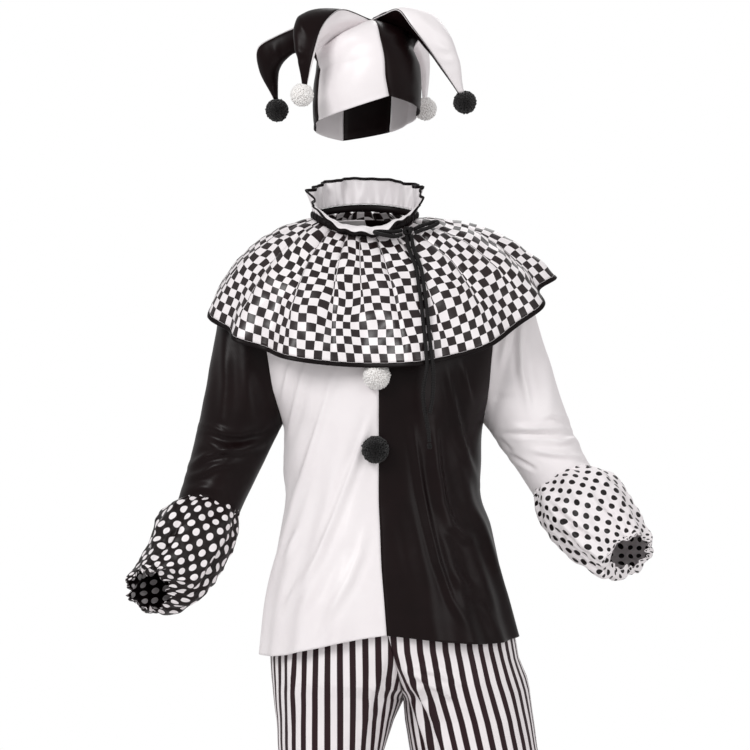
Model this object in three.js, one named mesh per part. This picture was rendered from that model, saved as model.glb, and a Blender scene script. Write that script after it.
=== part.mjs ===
// Jester costume, worn on an unseen figure: a four-point hat, a checked capelet with a neck frill and a
// drawstring, a tunic in two colours with gathered cuffs, and striped trousers. Units are millimetres.
// X runs to the right of the front view, Y to the back and Z up. The origin is the middle of the neck.

import * as THREE from "three";

// Driving sizes of the whole set
const WALL = 1.5;              // thickness of each cloth wall
const SEAM_GAP = 0.36;         // space between two sewn pieces
const DEGREE = Math.PI / 180;

const WHITE_CLOTH = new THREE.MeshStandardMaterial({ color: 0xece6e7, roughness: 0.55, metalness: 0 });
const BLACK_CLOTH = new THREE.MeshStandardMaterial({ color: 0x1b1112, roughness: 0.5, metalness: 0 });
const CHECKED_CLOTH = new THREE.MeshStandardMaterial({ color: 0x8a8587, roughness: 0.5, metalness: 0 });
const STRIPED_CLOTH = new THREE.MeshStandardMaterial({ color: 0xa39a9c, roughness: 0.6, metalness: 0 });
const WHITE_YARN = new THREE.MeshStandardMaterial({ color: 0xe9e1d8, roughness: 0.95, metalness: 0 });
const BLACK_YARN = new THREE.MeshStandardMaterial({ color: 0x131011, roughness: 0.95, metalness: 0 });
const BLACK_CORD = new THREE.MeshStandardMaterial({ color: 0x161213, roughness: 0.8, metalness: 0 });

const costume = new THREE.Group();

function addPiece(name, geometry, material) {
  const mesh = new THREE.Mesh(geometry, material);
  mesh.name = name;
  costume.add(mesh);
}

function point(x, y, z) {
  return new THREE.Vector3(x, y, z);
}

// Turns rows of numbers into rows of named values.
function columns(names, rows) {
  const keys = names.split(" ");
  return rows.map((row) => Object.fromEntries(keys.map((key, i) => [key, row[i]])));
}

// Reads a table between its rows, on a smooth curve through each column.
function readTable(table, position) {
  const last = table.length - 1;
  const row = THREE.MathUtils.clamp(Math.floor(position), 0, last - 1);
  const t = THREE.MathUtils.clamp(position - row, 0, 1);
  const [a, b, c, d] = [-1, 0, 1, 2].map((step) => table[THREE.MathUtils.clamp(row + step, 0, last)]);
  const value = {};
  for (const key of Object.keys(b)) {
    const slope = -a[key] + c[key];
    const bend = 2 * a[key] - 5 * b[key] + 4 * c[key] - d[key];
    const turn = -a[key] + 3 * b[key] - 3 * c[key] + d[key];
    value[key] = 0.5 * (2 * b[key] + t * (slope + t * (bend + t * turn)));
  }
  return value;
}

function rounded(value, power) {
  return Math.sign(value) * Math.abs(value) ** power;
}

function placeOf(p) {
  return [p.x, p.y, p.z].map((value) => Math.round(value * 50)).join(",");
}

// Welds grids of points into one surface of triangles that face away from the point inside.
function surfaceOf(grids, inside) {
  const numbers = new Map();
  const points = [];
  const triangles = [];
  const numberOf = (p) => {
    const place = placeOf(p);
    if (!numbers.has(place)) {
      numbers.set(place, points.length);
      points.push(p);
    }
    return numbers.get(place);
  };
  for (const grid of grids) {
    const faces = [];
    const rows = grid.map((row) => row.map(numberOf));
    for (let r = 0; r + 1 < rows.length; r++) {
      for (let c = 0; c + 1 < rows[r].length; c++) {
        const corners = [rows[r][c], rows[r][c + 1], rows[r + 1][c + 1], rows[r + 1][c]];
        faces.push([corners[0], corners[1], corners[2]], [corners[0], corners[2], corners[3]]);
      }
    }
    const real = faces.filter(([i, j, k]) => i !== j && j !== k && k !== i);
    let facing = 0;
    for (const [i, j, k] of real) {
      const across = points[j].clone().sub(points[i]).cross(points[k].clone().sub(points[i]));
      facing += across.dot(points[i].clone().sub(inside));
    }
    triangles.push(...(facing < 0 ? real.map(([i, j, k]) => [i, k, j]) : real));
  }
  return { points, triangles };
}

function faceNormal(surface, [i, j, k]) {
  const { points } = surface;
  return points[j].clone().sub(points[i]).cross(points[k].clone().sub(points[i]));
}

// Sews pieces that share seam points: each becomes a closed wall, drawn back from its seams by half the
// seam gap. The walls are mitred where the seam is a ridge, and part from each other where it is a valley. A piece is { name, material, grids, inside }.
function sewPieces(pieces) {
  const normals = new Map();
  const owners = new Map();
  for (const piece of pieces) {
    piece.surface = surfaceOf(piece.grids, piece.inside);
    for (const triangle of piece.surface.triangles) {
      const normal = faceNormal(piece.surface, triangle).normalize();
      for (const corner of triangle) {
        const place = placeOf(piece.surface.points[corner]);
        normals.set(place, (normals.get(place) ?? point(0, 0, 0)).add(normal));
        owners.set(place, (owners.get(place) ?? new Set()).add(piece.name));
      }
    }
  }
  for (const piece of pieces) {
    addPiece(piece.name, wallOf(piece, normals, owners), piece.material);
  }
}

function wallOf(piece, normals, owners) {
  const { points, triangles } = piece.surface;
  const thickness = piece.wall ?? WALL;
  const middles = points.map(() => point(0, 0, 0));
  const facing = points.map(() => point(0, 0, 0));
  const counts = points.map(() => 0);
  const edges = new Map();
  for (const [i, j, k] of triangles) {
    const middle = points[i].clone().add(points[j]).add(points[k]).divideScalar(3);
    const normal = faceNormal(piece.surface, [i, j, k]).normalize();
    for (const corner of [i, j, k]) {
      middles[corner].add(middle);
      facing[corner].add(normal);
      counts[corner] += 1;
    }
    for (const [from, to] of [[i, j], [j, k], [k, i]]) {
      edges.set(`${from},${to}`, [from, to]);
    }
  }
  const outer = [];
  const inner = [];
  points.forEach((p, i) => {
    const place = placeOf(p);
    const shared = normals.get(place).clone().normalize();
    const back = middles[i].divideScalar(counts[i]).sub(p);
    const inValley = !piece.mitred && back.dot(shared) > 0;
    const normal = inValley ? facing[i].normalize() : shared;
    const outside = p.clone();
    if (owners.get(place).size > 1) {
      back.addScaledVector(normal, -back.dot(normal)).normalize();
      outside.addScaledVector(back, (piece.gap ?? SEAM_GAP) / 2);
    }
    outer.push(outside);
    inner.push(outside.clone().addScaledVector(normal, -thickness));
  });
  const count = points.length;
  const index = [];
  for (const [i, j, k] of triangles) {
    index.push(i, j, k, i + count, k + count, j + count);
  }
  for (const [from, to] of edges.values()) {
    if (!edges.has(`${to},${from}`)) {
      index.push(from, from + count, to, to, from + count, to + count);
    }
  }
  return closedGeometry([...outer, ...inner], index);
}

function closedGeometry(points, index) {
  const geometry = new THREE.BufferGeometry();
  geometry.setAttribute("position", new THREE.Float32BufferAttribute(points.flatMap((p) => [p.x, p.y, p.z]), 3));
  geometry.setIndex(index);
  return geometry;
}

function closeRing(row) {
  return [...row, row[0]];
}

// Tunic

// Rings round the torso, from the neckline to the hem: the height and reach at the left side, right side,
// middle, front and back.
const TORSO = columns("zLeft xLeft zRight xRight xMiddle zFront yFront zBack yBack", [
  [0, -86, -1, 64, -11, -31, -60, 6, 65],
  [-18, -128, -9, 116, -4, -60, -83, -20, 88],
  [-46, -170, -42, 190, 2, -92, -106, -62, 112],
  [-105, -181, -100, 203, 6, -130, -120, -112, 122],
  [-175, -179, -172, 201, 9, -185, -128, -178, 126],
  [-245, -162, -243, 188, 10, -247, -130, -246, 124],
  [-304, -135, -302, 168, 10, -304, -129, -304, 120],
  [-364, -133, -362, 165, 10, -364, -128, -364, 118],
  [-417, -131, -414, 165, 10, -417, -128, -417, 118],
  [-462, -138, -456, 179, 12, -462, -132, -462, 122],
  [-515, -148, -507, 190, 14, -515, -138, -515, 129],
  [-575, -157, -562, 202, 18, -567, -143, -575, 135],
  [-646, -162, -618, 215, 22, -619, -148, -640, 140],
]);
const SHOULDER_ROW = 2;
const UNDERARM_ROW = 6;
const HEM_ROW = 12;
const TORSO_ROUNDING = 0.88;
const HEM_DIP = 14;            // how far the hem hangs lower between the middle and the sides
const ARMHOLE_OPENING = 26 * DEGREE;
const ARMHOLE_STEPS = 8;

const LEFT = 180 * DEGREE;
const RIGHT = 0;
const FRONT = 270 * DEGREE;
const BACK = 90 * DEGREE;

// Long folds of the tunic: where each starts and reaches the hem, in degrees round the torso.
const TUNIC_FOLDS = columns("angleTop angleHem rowTop width depth", [
  [263, 249, 4, 7, 7],
  [254, 229, 5, 8, 12],
  [240, 208, 4, 8, 9],
  [222, 190, 6, 8, 11],
  [279, 290, 6, 7, 8],
  [285, 307, 4, 8, 12],
  [298, 328, 5, 8, 9],
  [318, 349, 6, 8, 10],
  [80, 66, 5, 10, 10],
  [64, 38, 4, 10, 11],
  [40, 14, 6, 9, 8],
  [98, 112, 5, 10, 9],
  [114, 140, 4, 10, 12],
  [138, 165, 6, 9, 8],
]);

function tunicFolds(angle, row) {
  const degrees = angle / DEGREE;
  let height = 0;
  for (const fold of TUNIC_FOLDS) {
    const along = THREE.MathUtils.clamp((row - fold.rowTop) / (HEM_ROW - fold.rowTop), 0, 1);
    const middle = fold.angleTop + (fold.angleHem - fold.angleTop) * along;
    const away = (((degrees - middle + 540) % 360) - 180) / fold.width;
    height += fold.depth * Math.sin(along * 90 * DEGREE) * Math.exp(-away * away);
  }
  return height;
}

function torsoPoint(angle, row) {
  const ring = readTable(TORSO, row);
  const side = Math.cos(angle);
  const face = Math.sin(angle);
  const xSide = side > 0 ? ring.xRight : ring.xLeft;
  const zSide = side > 0 ? ring.zRight : ring.zLeft;
  const yFace = face > 0 ? ring.yBack : ring.yFront;
  const zFace = face > 0 ? ring.zBack : ring.zFront;
  const low = THREE.MathUtils.clamp(row - HEM_ROW + 1, 0, 1);
  const out = tunicFolds(angle, row);
  const x = ring.xMiddle + (xSide - ring.xMiddle) * Math.abs(side) ** TORSO_ROUNDING;
  const y = yFace * Math.abs(face) ** TORSO_ROUNDING;
  const z = zSide + (zFace - zSide) * face * face - low * HEM_DIP * Math.abs(Math.sin(2 * angle));
  return point(x + out * side, y + out * face, z);
}

function armholeOpening(row) {
  const along = (row - SHOULDER_ROW) / (UNDERARM_ROW - SHOULDER_ROW);
  if (along <= 0 || along >= 1) {
    return 0;
  }
  return ARMHOLE_OPENING * Math.sin(along * Math.PI) ** 0.6;
}

const TUNIC_ROWS = [];
for (let i = 0; i < 2; i++) {
  TUNIC_ROWS.push((i * SHOULDER_ROW) / 2);
}
for (let i = 0; i < ARMHOLE_STEPS; i++) {
  TUNIC_ROWS.push(SHOULDER_ROW + ((UNDERARM_ROW - SHOULDER_ROW) * i) / ARMHOLE_STEPS);
}
for (let i = 0; i <= 6; i++) {
  TUNIC_ROWS.push(UNDERARM_ROW + ((HEM_ROW - UNDERARM_ROW) * i) / 6);
}

// A panel runs from the centre seam to the side seam, and to the armhole edge beside the arm.
function tunicPanel(name, material, centre, side, steps) {
  const towards = Math.sign(side - centre);
  const grid = TUNIC_ROWS.map((row) => {
    const edge = side - towards * armholeOpening(row);
    const angles = Array.from({ length: steps + 1 }, (_, i) => centre + ((edge - centre) * i) / steps);
    return angles.map((angle) => torsoPoint(angle, row));
  });
  return { name, material, grids: [grid], inside: point(15, 0, -330) };
}

// Sleeves and cuffs

const SLEEVE_POINTS = 2 * ARMHOLE_STEPS;
const CUFF_POINTS = 2 * SLEEVE_POINTS;
const CUFF_GATHERS = 8;

// Rings down each sleeve, each given by its outer and inner edge in the front view and by its depth.
const RING_NAMES = "xOuter zOuter xInner zInner y depth";
const LEFT_SLEEVE = columns(RING_NAMES, [
  [-170, -46, -135, -304, 0, 70],
  [-216, -92, -141, -314, -2, 57],
  [-238, -172, -150, -334, -4, 57],
  [-252, -255, -161, -356, -6, 56],
  [-268, -330, -174, -383, -10, 54],
  [-281, -380, -187, -410, -14, 50],
  [-294, -423, -201, -441, -18, 47],
]);
const RIGHT_SLEEVE = columns(RING_NAMES, [
  [190, -42, 168, -302, 0, 70],
  [233, -98, 176, -312, -2, 57],
  [252, -160, 186, -326, -4, 57],
  [279, -243, 200, -346, -6, 56],
  [301, -308, 216, -368, -10, 54],
  [318, -345, 230, -390, -14, 50],
  [333, -372, 246, -415, -18, 47],
]);
const LEFT_CUFF = columns(`${RING_NAMES} gather`, [
  [-294, -423, -201, -441, -18, 47, 0],
  [-317, -437, -204, -461, -27, 58, 3.5],
  [-331, -470, -209, -486, -40, 64, 2],
  [-341, -497, -225, -519, -56, 62, 2],
  [-353, -518, -245, -548, -72, 58, 2.5],
  [-364, -534, -272, -570, -88, 50, 4],
  [-365, -541, -305, -565, -98, 31, 3],
]);
const RIGHT_CUFF = columns(`${RING_NAMES} gather lag`, [
  [333, -372, 246, -415, -18, 47, 0, 0.5],
  [361, -380, 250, -436, -28, 58, 3.5, 0.5],
  [381, -404, 261, -461, -42, 64, 2, 0.5],
  [397, -432, 284, -489, -60, 62, 2, 0.5],
  [410, -458, 316, -514, -78, 57, 2.5, 1],
  [417, -475, 349, -531, -94, 47, 4, 2],
  [414, -482, 355, -506, -104, 31, 3, 2.5],
]);

// A ring stands across the arm: its front is turned to the direction in which the arm runs.
function armRing(table, position, count) {
  const ring = readTable(table, position);
  const before = readTable(table, position - (ring.lag ?? 0.5));
  const after = readTable(table, position + 0.5);
  const middleOf = (r) => point((r.xOuter + r.xInner) / 2, r.y, (r.zOuter + r.zInner) / 2);
  const middle = middleOf(ring);
  const along = middleOf(after).sub(middleOf(before)).normalize();
  const wide = point(ring.xOuter - ring.xInner, 0, ring.zOuter - ring.zInner).divideScalar(2);
  const deep = along.clone().cross(wide).normalize();
  deep.multiplyScalar((deep.y > 0 ? -1 : 1) * ring.depth);
  return Array.from({ length: count }, (_, i) => {
    const turn = (i / count) * 360 * DEGREE;
    const out = 1 + ((ring.gather ?? 0) * Math.cos(turn * CUFF_GATHERS)) / ring.depth;
    const p = middle.clone().addScaledVector(wide, out * Math.cos(turn));
    return p.addScaledVector(deep, out * Math.sin(turn));
  });
}

// The armhole loop starts on the shoulder, goes down the front edge and comes up the back edge.
function armholeLoop(side) {
  return Array.from({ length: SLEEVE_POINTS }, (_, i) => {
    const front = i <= ARMHOLE_STEPS;
    const step = front ? i : SLEEVE_POINTS - i;
    const row = SHOULDER_ROW + ((UNDERARM_ROW - SHOULDER_ROW) * step) / ARMHOLE_STEPS;
    const towardsFront = side === LEFT ? 1 : -1;
    const turn = side + (front ? towardsFront : -towardsFront) * armholeOpening(row);
    return torsoPoint(turn < 0 ? turn + 360 * DEGREE : turn, row);
  });
}

function sleevePiece(name, material, table, side) {
  const grid = [closeRing(armholeLoop(side))];
  for (let row = 1; row < table.length; row++) {
    grid.push(closeRing(armRing(table, row, SLEEVE_POINTS)));
  }
  const middle = readTable(table, 3);
  const inside = point((middle.xOuter + middle.xInner) / 2, middle.y, (middle.zOuter + middle.zInner) / 2);
  return { name, material, grids: [grid], inside };
}

// The cuff's first ring follows the straight edges of the sleeve's last one.
function cuffPiece(name, material, table, sleeveTable) {
  const end = closeRing(armRing(sleeveTable, sleeveTable.length - 1, SLEEVE_POINTS));
  const seam = Array.from({ length: CUFF_POINTS + 1 }, (_, i) => {
    const from = Math.min(Math.floor(i / 2), SLEEVE_POINTS - 1);
    return end[from].clone().lerp(end[from + 1], i / 2 - from);
  });
  seam[CUFF_POINTS] = seam[0];
  const grid = [seam];
  for (let row = 1; row < table.length; row++) {
    grid.push(closeRing(armRing(table, row, CUFF_POINTS)));
  }
  const middle = readTable(table, 3);
  const inside = point((middle.xOuter + middle.xInner) / 2, middle.y, (middle.zOuter + middle.zInner) / 2);
  return { name, material, grids: [grid], inside, gap: 0.5 };
}

sewPieces([
  tunicPanel("tunic_front_white", WHITE_CLOTH, FRONT, LEFT, 10),
  tunicPanel("tunic_front_black", BLACK_CLOTH, FRONT, RIGHT + 360 * DEGREE, 10),
  tunicPanel("tunic_back_white", WHITE_CLOTH, BACK, LEFT, 7),
  tunicPanel("tunic_back_black", BLACK_CLOTH, BACK, RIGHT, 7),
  sleevePiece("sleeve_black", BLACK_CLOTH, LEFT_SLEEVE, LEFT),
  sleevePiece("sleeve_white", WHITE_CLOTH, RIGHT_SLEEVE, RIGHT),
  cuffPiece("cuff_black_dots", BLACK_CLOTH, LEFT_CUFF, LEFT_SLEEVE),
  cuffPiece("cuff_white_dots", WHITE_CLOTH, RIGHT_CUFF, RIGHT_SLEEVE),
]);

// Trousers

// Above the crotch each leg is an open arc from the front seam to the back seam, and below it a closed tube.
// The spread is half the arc, in degrees. Both legs share the seam's place.
const TROUSER_SEAT = columns("z zSeam xOutLeft xMidLeft xOutRight xMidRight xSeam yFront yBack spread", [
  [-486, -486, -116, 16, 160, 16, 16, -98, 98, 90],
  [-552, -552, -138, 17, 186, 17, 17, -122, 120, 90],
  [-612, -612, -152, 22, 213.4, 22, 22, -138, 135.5, 90],
  [-655, -662, -154, -6, 222, 58, 36, -131, 129, 116],
  [-684, -704, -152, -34, 234, 94, 45, -126, 126, 148],
  [-702, -722, -150, -50, 238, 120, 47, -118, 120, 180],
]);
const TROUSER_LEGS = columns("z xOutLeft xInLeft xOutRight xInRight yFront yBack", [
  [-750, -145, 33, 244, 50, -108, 112],
  [-805, -141, 15, 251, 59, -101, 104],
  [-910, -137, -4, 262, 88, -92, 94],
  [-1060, -131, -20, 280, 136, -80, 82],
  [-1230, -127, -32, 292, 170, -62, 76],
  [-1400, -126, -36, 300, 198, -52, 70],
]);
const LEG_STEPS = 16;
const TROUSER_ROUNDING = 0.9;
const WAISTBAND_HEIGHT = 26;

function legRow(left, row) {
  const seat = TROUSER_SEAT[row];
  const tube = TROUSER_LEGS[row - TROUSER_SEAT.length];
  const ring = seat ?? tube;
  const xOut = left ? ring.xOutLeft : ring.xOutRight;
  const xIn = left ? ring.xInLeft : ring.xInRight;
  const spread = (seat ? seat.spread : 180) * DEGREE;
  const xMiddle = seat ? (left ? seat.xMidLeft : seat.xMidRight) : (xOut + xIn) / 2;
  const xSeam = seat ? seat.xSeam : xIn;
  const zSeam = seat ? seat.zSeam : ring.z;
  return Array.from({ length: LEG_STEPS + 1 }, (_, i) => {
    const turn = spread * ((2 * i) / LEG_STEPS - 1);
    const beyond = Math.max(0, -Math.cos(turn));
    const reach = beyond > 0 ? (beyond / -Math.cos(spread)) ** TROUSER_ROUNDING : 0;
    const outward = Math.max(0, Math.cos(turn)) ** TROUSER_ROUNDING;
    const deep = (turn < 0 ? ring.yFront : ring.yBack) * Math.abs(Math.sin(turn)) ** TROUSER_ROUNDING;
    const x = xMiddle + (xOut - xMiddle) * outward + (xSeam - xMiddle) * reach;
    const y = i === 0 || i === LEG_STEPS ? (spread > 179 * DEGREE ? 0 : deep) : deep;
    return point(x, y, ring.z + ((zSeam - ring.z) * Math.abs(turn)) / spread);
  });
}

function trouserLeg(name, left) {
  const count = TROUSER_SEAT.length + TROUSER_LEGS.length;
  const grid = Array.from({ length: count }, (_, row) => legRow(left, row));
  return { name, material: STRIPED_CLOTH, grids: [grid], inside: point(left ? -60 : 130, 0, -800) };
}

// The waistband stands on the top edge of both legs.
function waistband() {
  const low = [...legRow(true, 0), ...legRow(false, 0).reverse().slice(1)];
  const high = low.map((p) => point(p.x, p.y, p.z + WAISTBAND_HEIGHT));
  return { name: "trouser_waistband", material: STRIPED_CLOTH, grids: [[low, high]], inside: point(16, 0, -470) };
}

sewPieces([trouserLeg("trouser_leg_left", true), trouserLeg("trouser_leg_right", false), waistband()]);

// Capelet

// The neck ring, round the drawn casing.
const NECK = { xMiddle: -11, halfWidth: 79, yFront: -64, yBack: 70, zSide: 12.5, zFront: -16, zBack: 24 };
const NECK_ROUNDING = 0.9;
const CAPELET_HEM = { xLeft: -246, xRight: 263, xMiddle: 8, yFront: -168, yBack: 176 };
const CAPELET_HEM_HEIGHTS = { left: -118, right: -78, front: -212, back: -206 };
const CAPELET_SWELL = { side: 26, front: 15, back: 24.6 };
const GATHERS = 28;
const CAPELET_POINTS = 4 * GATHERS;
const CAPELET_ROWS = [0, 0.1, 0.32, 0.63, 1];
const GATHER_DEPTH = 3;
const GATHER_REACH = 0.5;      // share of the length over which the gathers die out
const HEM_WAVES = 13;
const HEM_WAVE_DEPTH = 9;
const CASING_HALF_HEIGHT = 5.5;
const CASING_HALF_DEPTH = 2;
const BINDING_WIDTH = 6.5;
const BINDING_THICKNESS = 2.6;

function ringAngle(index, count) {
  return (index / count) * 360 * DEGREE;
}

function neckPoint(angle) {
  const side = Math.cos(angle);
  const face = Math.sin(angle);
  const zFace = face > 0 ? NECK.zBack : NECK.zFront;
  const yFace = face > 0 ? NECK.yBack : NECK.yFront;
  const x = NECK.xMiddle + NECK.halfWidth * rounded(side, NECK_ROUNDING);
  return point(x, yFace * Math.abs(face) ** NECK_ROUNDING, NECK.zSide + (zFace - NECK.zSide) * face * face);
}

function capeletHemPoint(angle) {
  const side = Math.cos(angle);
  const face = Math.sin(angle);
  const reach = (side > 0 ? CAPELET_HEM.xRight : CAPELET_HEM.xLeft) - CAPELET_HEM.xMiddle;
  const yFace = face > 0 ? CAPELET_HEM.yBack : CAPELET_HEM.yFront;
  const zSide = side > 0 ? CAPELET_HEM_HEIGHTS.right : CAPELET_HEM_HEIGHTS.left;
  const zFace = face > 0 ? CAPELET_HEM_HEIGHTS.back : CAPELET_HEM_HEIGHTS.front;
  const x = CAPELET_HEM.xMiddle + reach * Math.abs(side) ** NECK_ROUNDING;
  const z = zSide + (zFace - zSide) * Math.abs(face) ** 1.1;
  return point(x, yFace * Math.abs(face) ** NECK_ROUNDING, z);
}

// The soft waves of the hem are uneven in spacing and depth.
function hemWave(angle) {
  const turn = HEM_WAVES * angle + 0.9 * Math.sin(2 * angle) + 0.7 * Math.sin(5 * angle);
  return (1 + 0.4 * Math.sin(3 * angle + 1)) * Math.cos(turn);
}

function capeletPoint(angle, along) {
  const top = neckPoint(angle);
  top.z -= CASING_HALF_HEIGHT + SEAM_GAP;
  const low = capeletHemPoint(angle);
  const outward = point(Math.cos(angle), Math.sin(angle), 0);
  const down = low.clone().sub(top);
  const across = down.clone().cross(point(-Math.sin(angle), Math.cos(angle), 0)).normalize();
  across.multiplyScalar(across.z < 0 ? -1 : 1);
  const face = Math.sin(angle) ** 2;
  const swell = CAPELET_SWELL.side + ((Math.sin(angle) > 0 ? CAPELET_SWELL.back : CAPELET_SWELL.front)
    - CAPELET_SWELL.side) * face;
  const gather = GATHER_DEPTH * Math.max(0, 1 - along / GATHER_REACH) * Math.cos(GATHERS * angle);
  const wave = HEM_WAVE_DEPTH * Math.max(0, (along - 0.15) / 0.85) ** 1.3 * hemWave(angle);
  const p = top.clone().addScaledVector(down, along);
  p.addScaledVector(across, swell * 4 * along * (1 - along));
  return p.addScaledVector(outward, gather + wave);
}

// The hem is straight between every other point, as its binding is.
function capeletRow(along) {
  const row = Array.from({ length: CAPELET_POINTS }, (_, i) => capeletPoint(ringAngle(i, CAPELET_POINTS), along));
  if (along === 1) {
    for (let i = 1; i < CAPELET_POINTS; i += 2) {
      row[i].copy(row[i - 1]).lerp(row[(i + 1) % CAPELET_POINTS], 0.5);
    }
  }
  return closeRing(row);
}

// Joins closed loops, each to the next and the last to the first, into a band with a solid section.
function bandGeometry(loops) {
  const points = loops.flat();
  const around = loops[0].length;
  const index = [];
  for (let k = 0; k < loops.length; k++) {
    for (let i = 0; i < around; i++) {
      const next = (i + 1) % around;
      const other = (k + 1) % loops.length;
      const corners = [k * around + i, k * around + next, other * around + next, other * around + i];
      index.push(corners[0], corners[1], corners[2], corners[0], corners[2], corners[3]);
    }
  }
  let volume = 0;
  for (let t = 0; t < index.length; t += 3) {
    volume += points[index[t]].dot(points[index[t + 1]].clone().cross(points[index[t + 2]]));
  }
  return closedGeometry(points, volume < 0 ? index.reverse() : index);
}

// A binding carries on from a cloth edge: it starts a seam gap beyond it and is as wide as the strip.
function bindingGeometry(edge, before, width, thickness) {
  const corners = [[0, 1], [1, 1], [1, -1], [0, -1]];
  const loops = corners.map(() => []);
  edge.forEach((p, i) => {
    const next = edge[(i + 1) % edge.length];
    const last = edge[(i + edge.length - 1) % edge.length];
    const onward = p.clone().sub(before[i]).normalize();
    const outward = next.clone().sub(last).cross(onward).normalize();
    const middle = p.clone().addScaledVector(outward, -WALL / 2 * outwardSign(outward, p));
    corners.forEach(([far, out], k) => {
      const q = middle.clone().addScaledVector(onward, SEAM_GAP + far * width);
      loops[k].push(q.addScaledVector(outward, (out * thickness) / 2));
    });
  });
  return bandGeometry(loops);
}

function outwardSign(direction, p) {
  return Math.sign(direction.x * (p.x - NECK.xMiddle) + direction.y * p.y + direction.z * 40) || 1;
}

const everyOther = (row) => row.slice(0, -1).filter((_, i) => i % 2 === 0);

const capeletRows = CAPELET_ROWS.map(capeletRow);
sewPieces([{ name: "capelet", material: CHECKED_CLOTH, grids: [capeletRows], inside: point(0, 0, -300) }]);
addPiece("capelet_hem_binding", bindingGeometry(everyOther(capeletRows.at(-1)), everyOther(capeletRows.at(-2)),
  BINDING_WIDTH, BINDING_THICKNESS), BLACK_CLOTH);

// The casing carries the drawstring round the neck.
const CASING_POINTS = 56;
function casingLoop(out, up) {
  return Array.from({ length: CASING_POINTS }, (_, i) => {
    const angle = ringAngle(i, CASING_POINTS);
    const p = neckPoint(angle);
    return p.add(point(out * Math.cos(angle), out * Math.sin(angle), up));
  });
}
const [CASE_OUT, CASE_UP] = [CASING_HALF_DEPTH, CASING_HALF_HEIGHT];
addPiece("neck_casing", bandGeometry([casingLoop(-CASE_OUT, -CASE_UP), casingLoop(CASE_OUT, -CASE_UP),
  casingLoop(1.3 * CASE_OUT, 0), casingLoop(CASE_OUT, CASE_UP), casingLoop(-CASE_OUT, CASE_UP)]), BLACK_CLOTH);

// The frill stands at the sides and the back, and falls outward at the front.
const FRILL_WAVES = 11;
const FRILL_POINTS = 6 * FRILL_WAVES;
const FRILL_ROWS = [0, 0.35, 0.7, 1];
const FRILL_WAVE_DEPTH = 7;
const FRILL_BINDING_WIDTH = 4.5;
const FRILL_BINDING_THICKNESS = 2.4;
const FRILL_SHAPE = columns("height lean lift", [
  [34, 4, 0],
  [36, 11, 0],
  [38, 14, 0],
  [36, 6, 0],
  [30, 0, 0],
  [24, 50, 3],
  [19, 112, 6],
  [22, 60, 3],
  [34, 4, 0],
]);

function frillPoint(angle, along) {
  const shape = readTable(FRILL_SHAPE, (angle / (360 * DEGREE)) * (FRILL_SHAPE.length - 1));
  const lean = shape.lean * DEGREE;
  const root = neckPoint(angle);
  root.z += CASING_HALF_HEIGHT + SEAM_GAP;
  const turn = FRILL_WAVES * angle + 0.8 * Math.sin(2 * angle + 1);
  const stand = Math.cos(lean) * shape.height * along + shape.lift * 4 * along * (1 - along);
  const wave = FRILL_WAVE_DEPTH * along * (0.75 + 0.25 * Math.sin(4 * angle)) * Math.cos(turn);
  const out = Math.sin(lean) * shape.height * along + wave * Math.abs(Math.cos(lean));
  const rise = stand + wave * 0.5 * Math.abs(Math.sin(lean));
  return root.add(point(out * Math.cos(angle), out * Math.sin(angle), rise));
}

const frillRows = FRILL_ROWS.map((along) => closeRing(
  Array.from({ length: FRILL_POINTS }, (_, i) => frillPoint(ringAngle(i, FRILL_POINTS), along))));
sewPieces([{ name: "neck_frill", material: WHITE_CLOTH, grids: [frillRows], inside: point(-11, 0, -60) }]);
addPiece("frill_binding", bindingGeometry(frillRows.at(-1).slice(0, -1), frillRows.at(-2).slice(0, -1),
  FRILL_BINDING_WIDTH, FRILL_BINDING_THICKNESS), BLACK_CLOTH);

// Hat

// The brim is an ellipse that is longer from front to back, turned with the head, and leans a little.
const BRIM = { xMiddle: -7, yMiddle: 4, halfWidth: 77, halfLength: 96, turn: 23, z: 158, leanX: 0.13, leanY: -0.3 };
const CROWN = point(-1, 2, 308);   // where all the valleys between the points meet
const HAT_WALL = 1.2;
const DOME_STEPS = 5;
const HORN_STEPS = 6;
const ACROSS_STEPS = 5;
const DOME = columns("reach height", [
  [1, 0],
  [1.03, 0.24],
  [1, 0.5],
  [0.9, 0.75],
  [0.6, 0.94],
  [0, 1],
]);

// Four points: the angle of the brim under each, the ridge from the crown out to the tip, and the lower
// seam from the dome to the tip.
const HORNS = {
  frontLeft: {
    brim: -165,
    ridge: [[-43, -40, 322], [-60, -66, 312], [-74, -84, 293], [-84, -94, 264], [-91, -94, 236], [-97, -88, 206]],
    under: [[-88, -47, 250], [-98, -58, 262], [-108, -68, 252], [-105, -76, 230], [-105, -83, 205]],
    pompom: [-105, -86, 190.6],
  },
  frontRight: {
    brim: 14,
    ridge: [[16, -22, 315], [38, -42, 321], [58, -54, 296], [80, -54, 268], [104, -42, 234], [131, -23, 194.5]],
    under: [[64, 6, 264], [80, 4, 281], [104, 2, 268], [124, -4, 236], [138.5, -14, 196.5]],
    pompom: [140, -16, 181.9],
  },
  backRight: {
    brim: 66,
    ridge: [[24, 34, 322], [52, 66, 314], [74, 88, 292], [87, 100, 262], [88, 104, 228], [84, 103, 191]],
    under: [[42, 86, 254], [56, 93, 262], [67, 98, 248], [72, 101, 224], [77, 103, 189.5]],
    pompom: [81, 104, 175.8],
  },
  backLeft: {
    brim: 160,
    ridge: [[-46, 24, 320], [-96, 22, 304], [-146, 22, 284], [-174, 32, 266], [-172, 44, 232], [-150, 44, 189.5]],
    under: [[-88, 36, 256], [-108, 40, 268], [-130, 44, 262], [-140, 46, 232], [-142, 46, 187]],
    pompom: [-144, 45, 172],
  },
};

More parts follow.
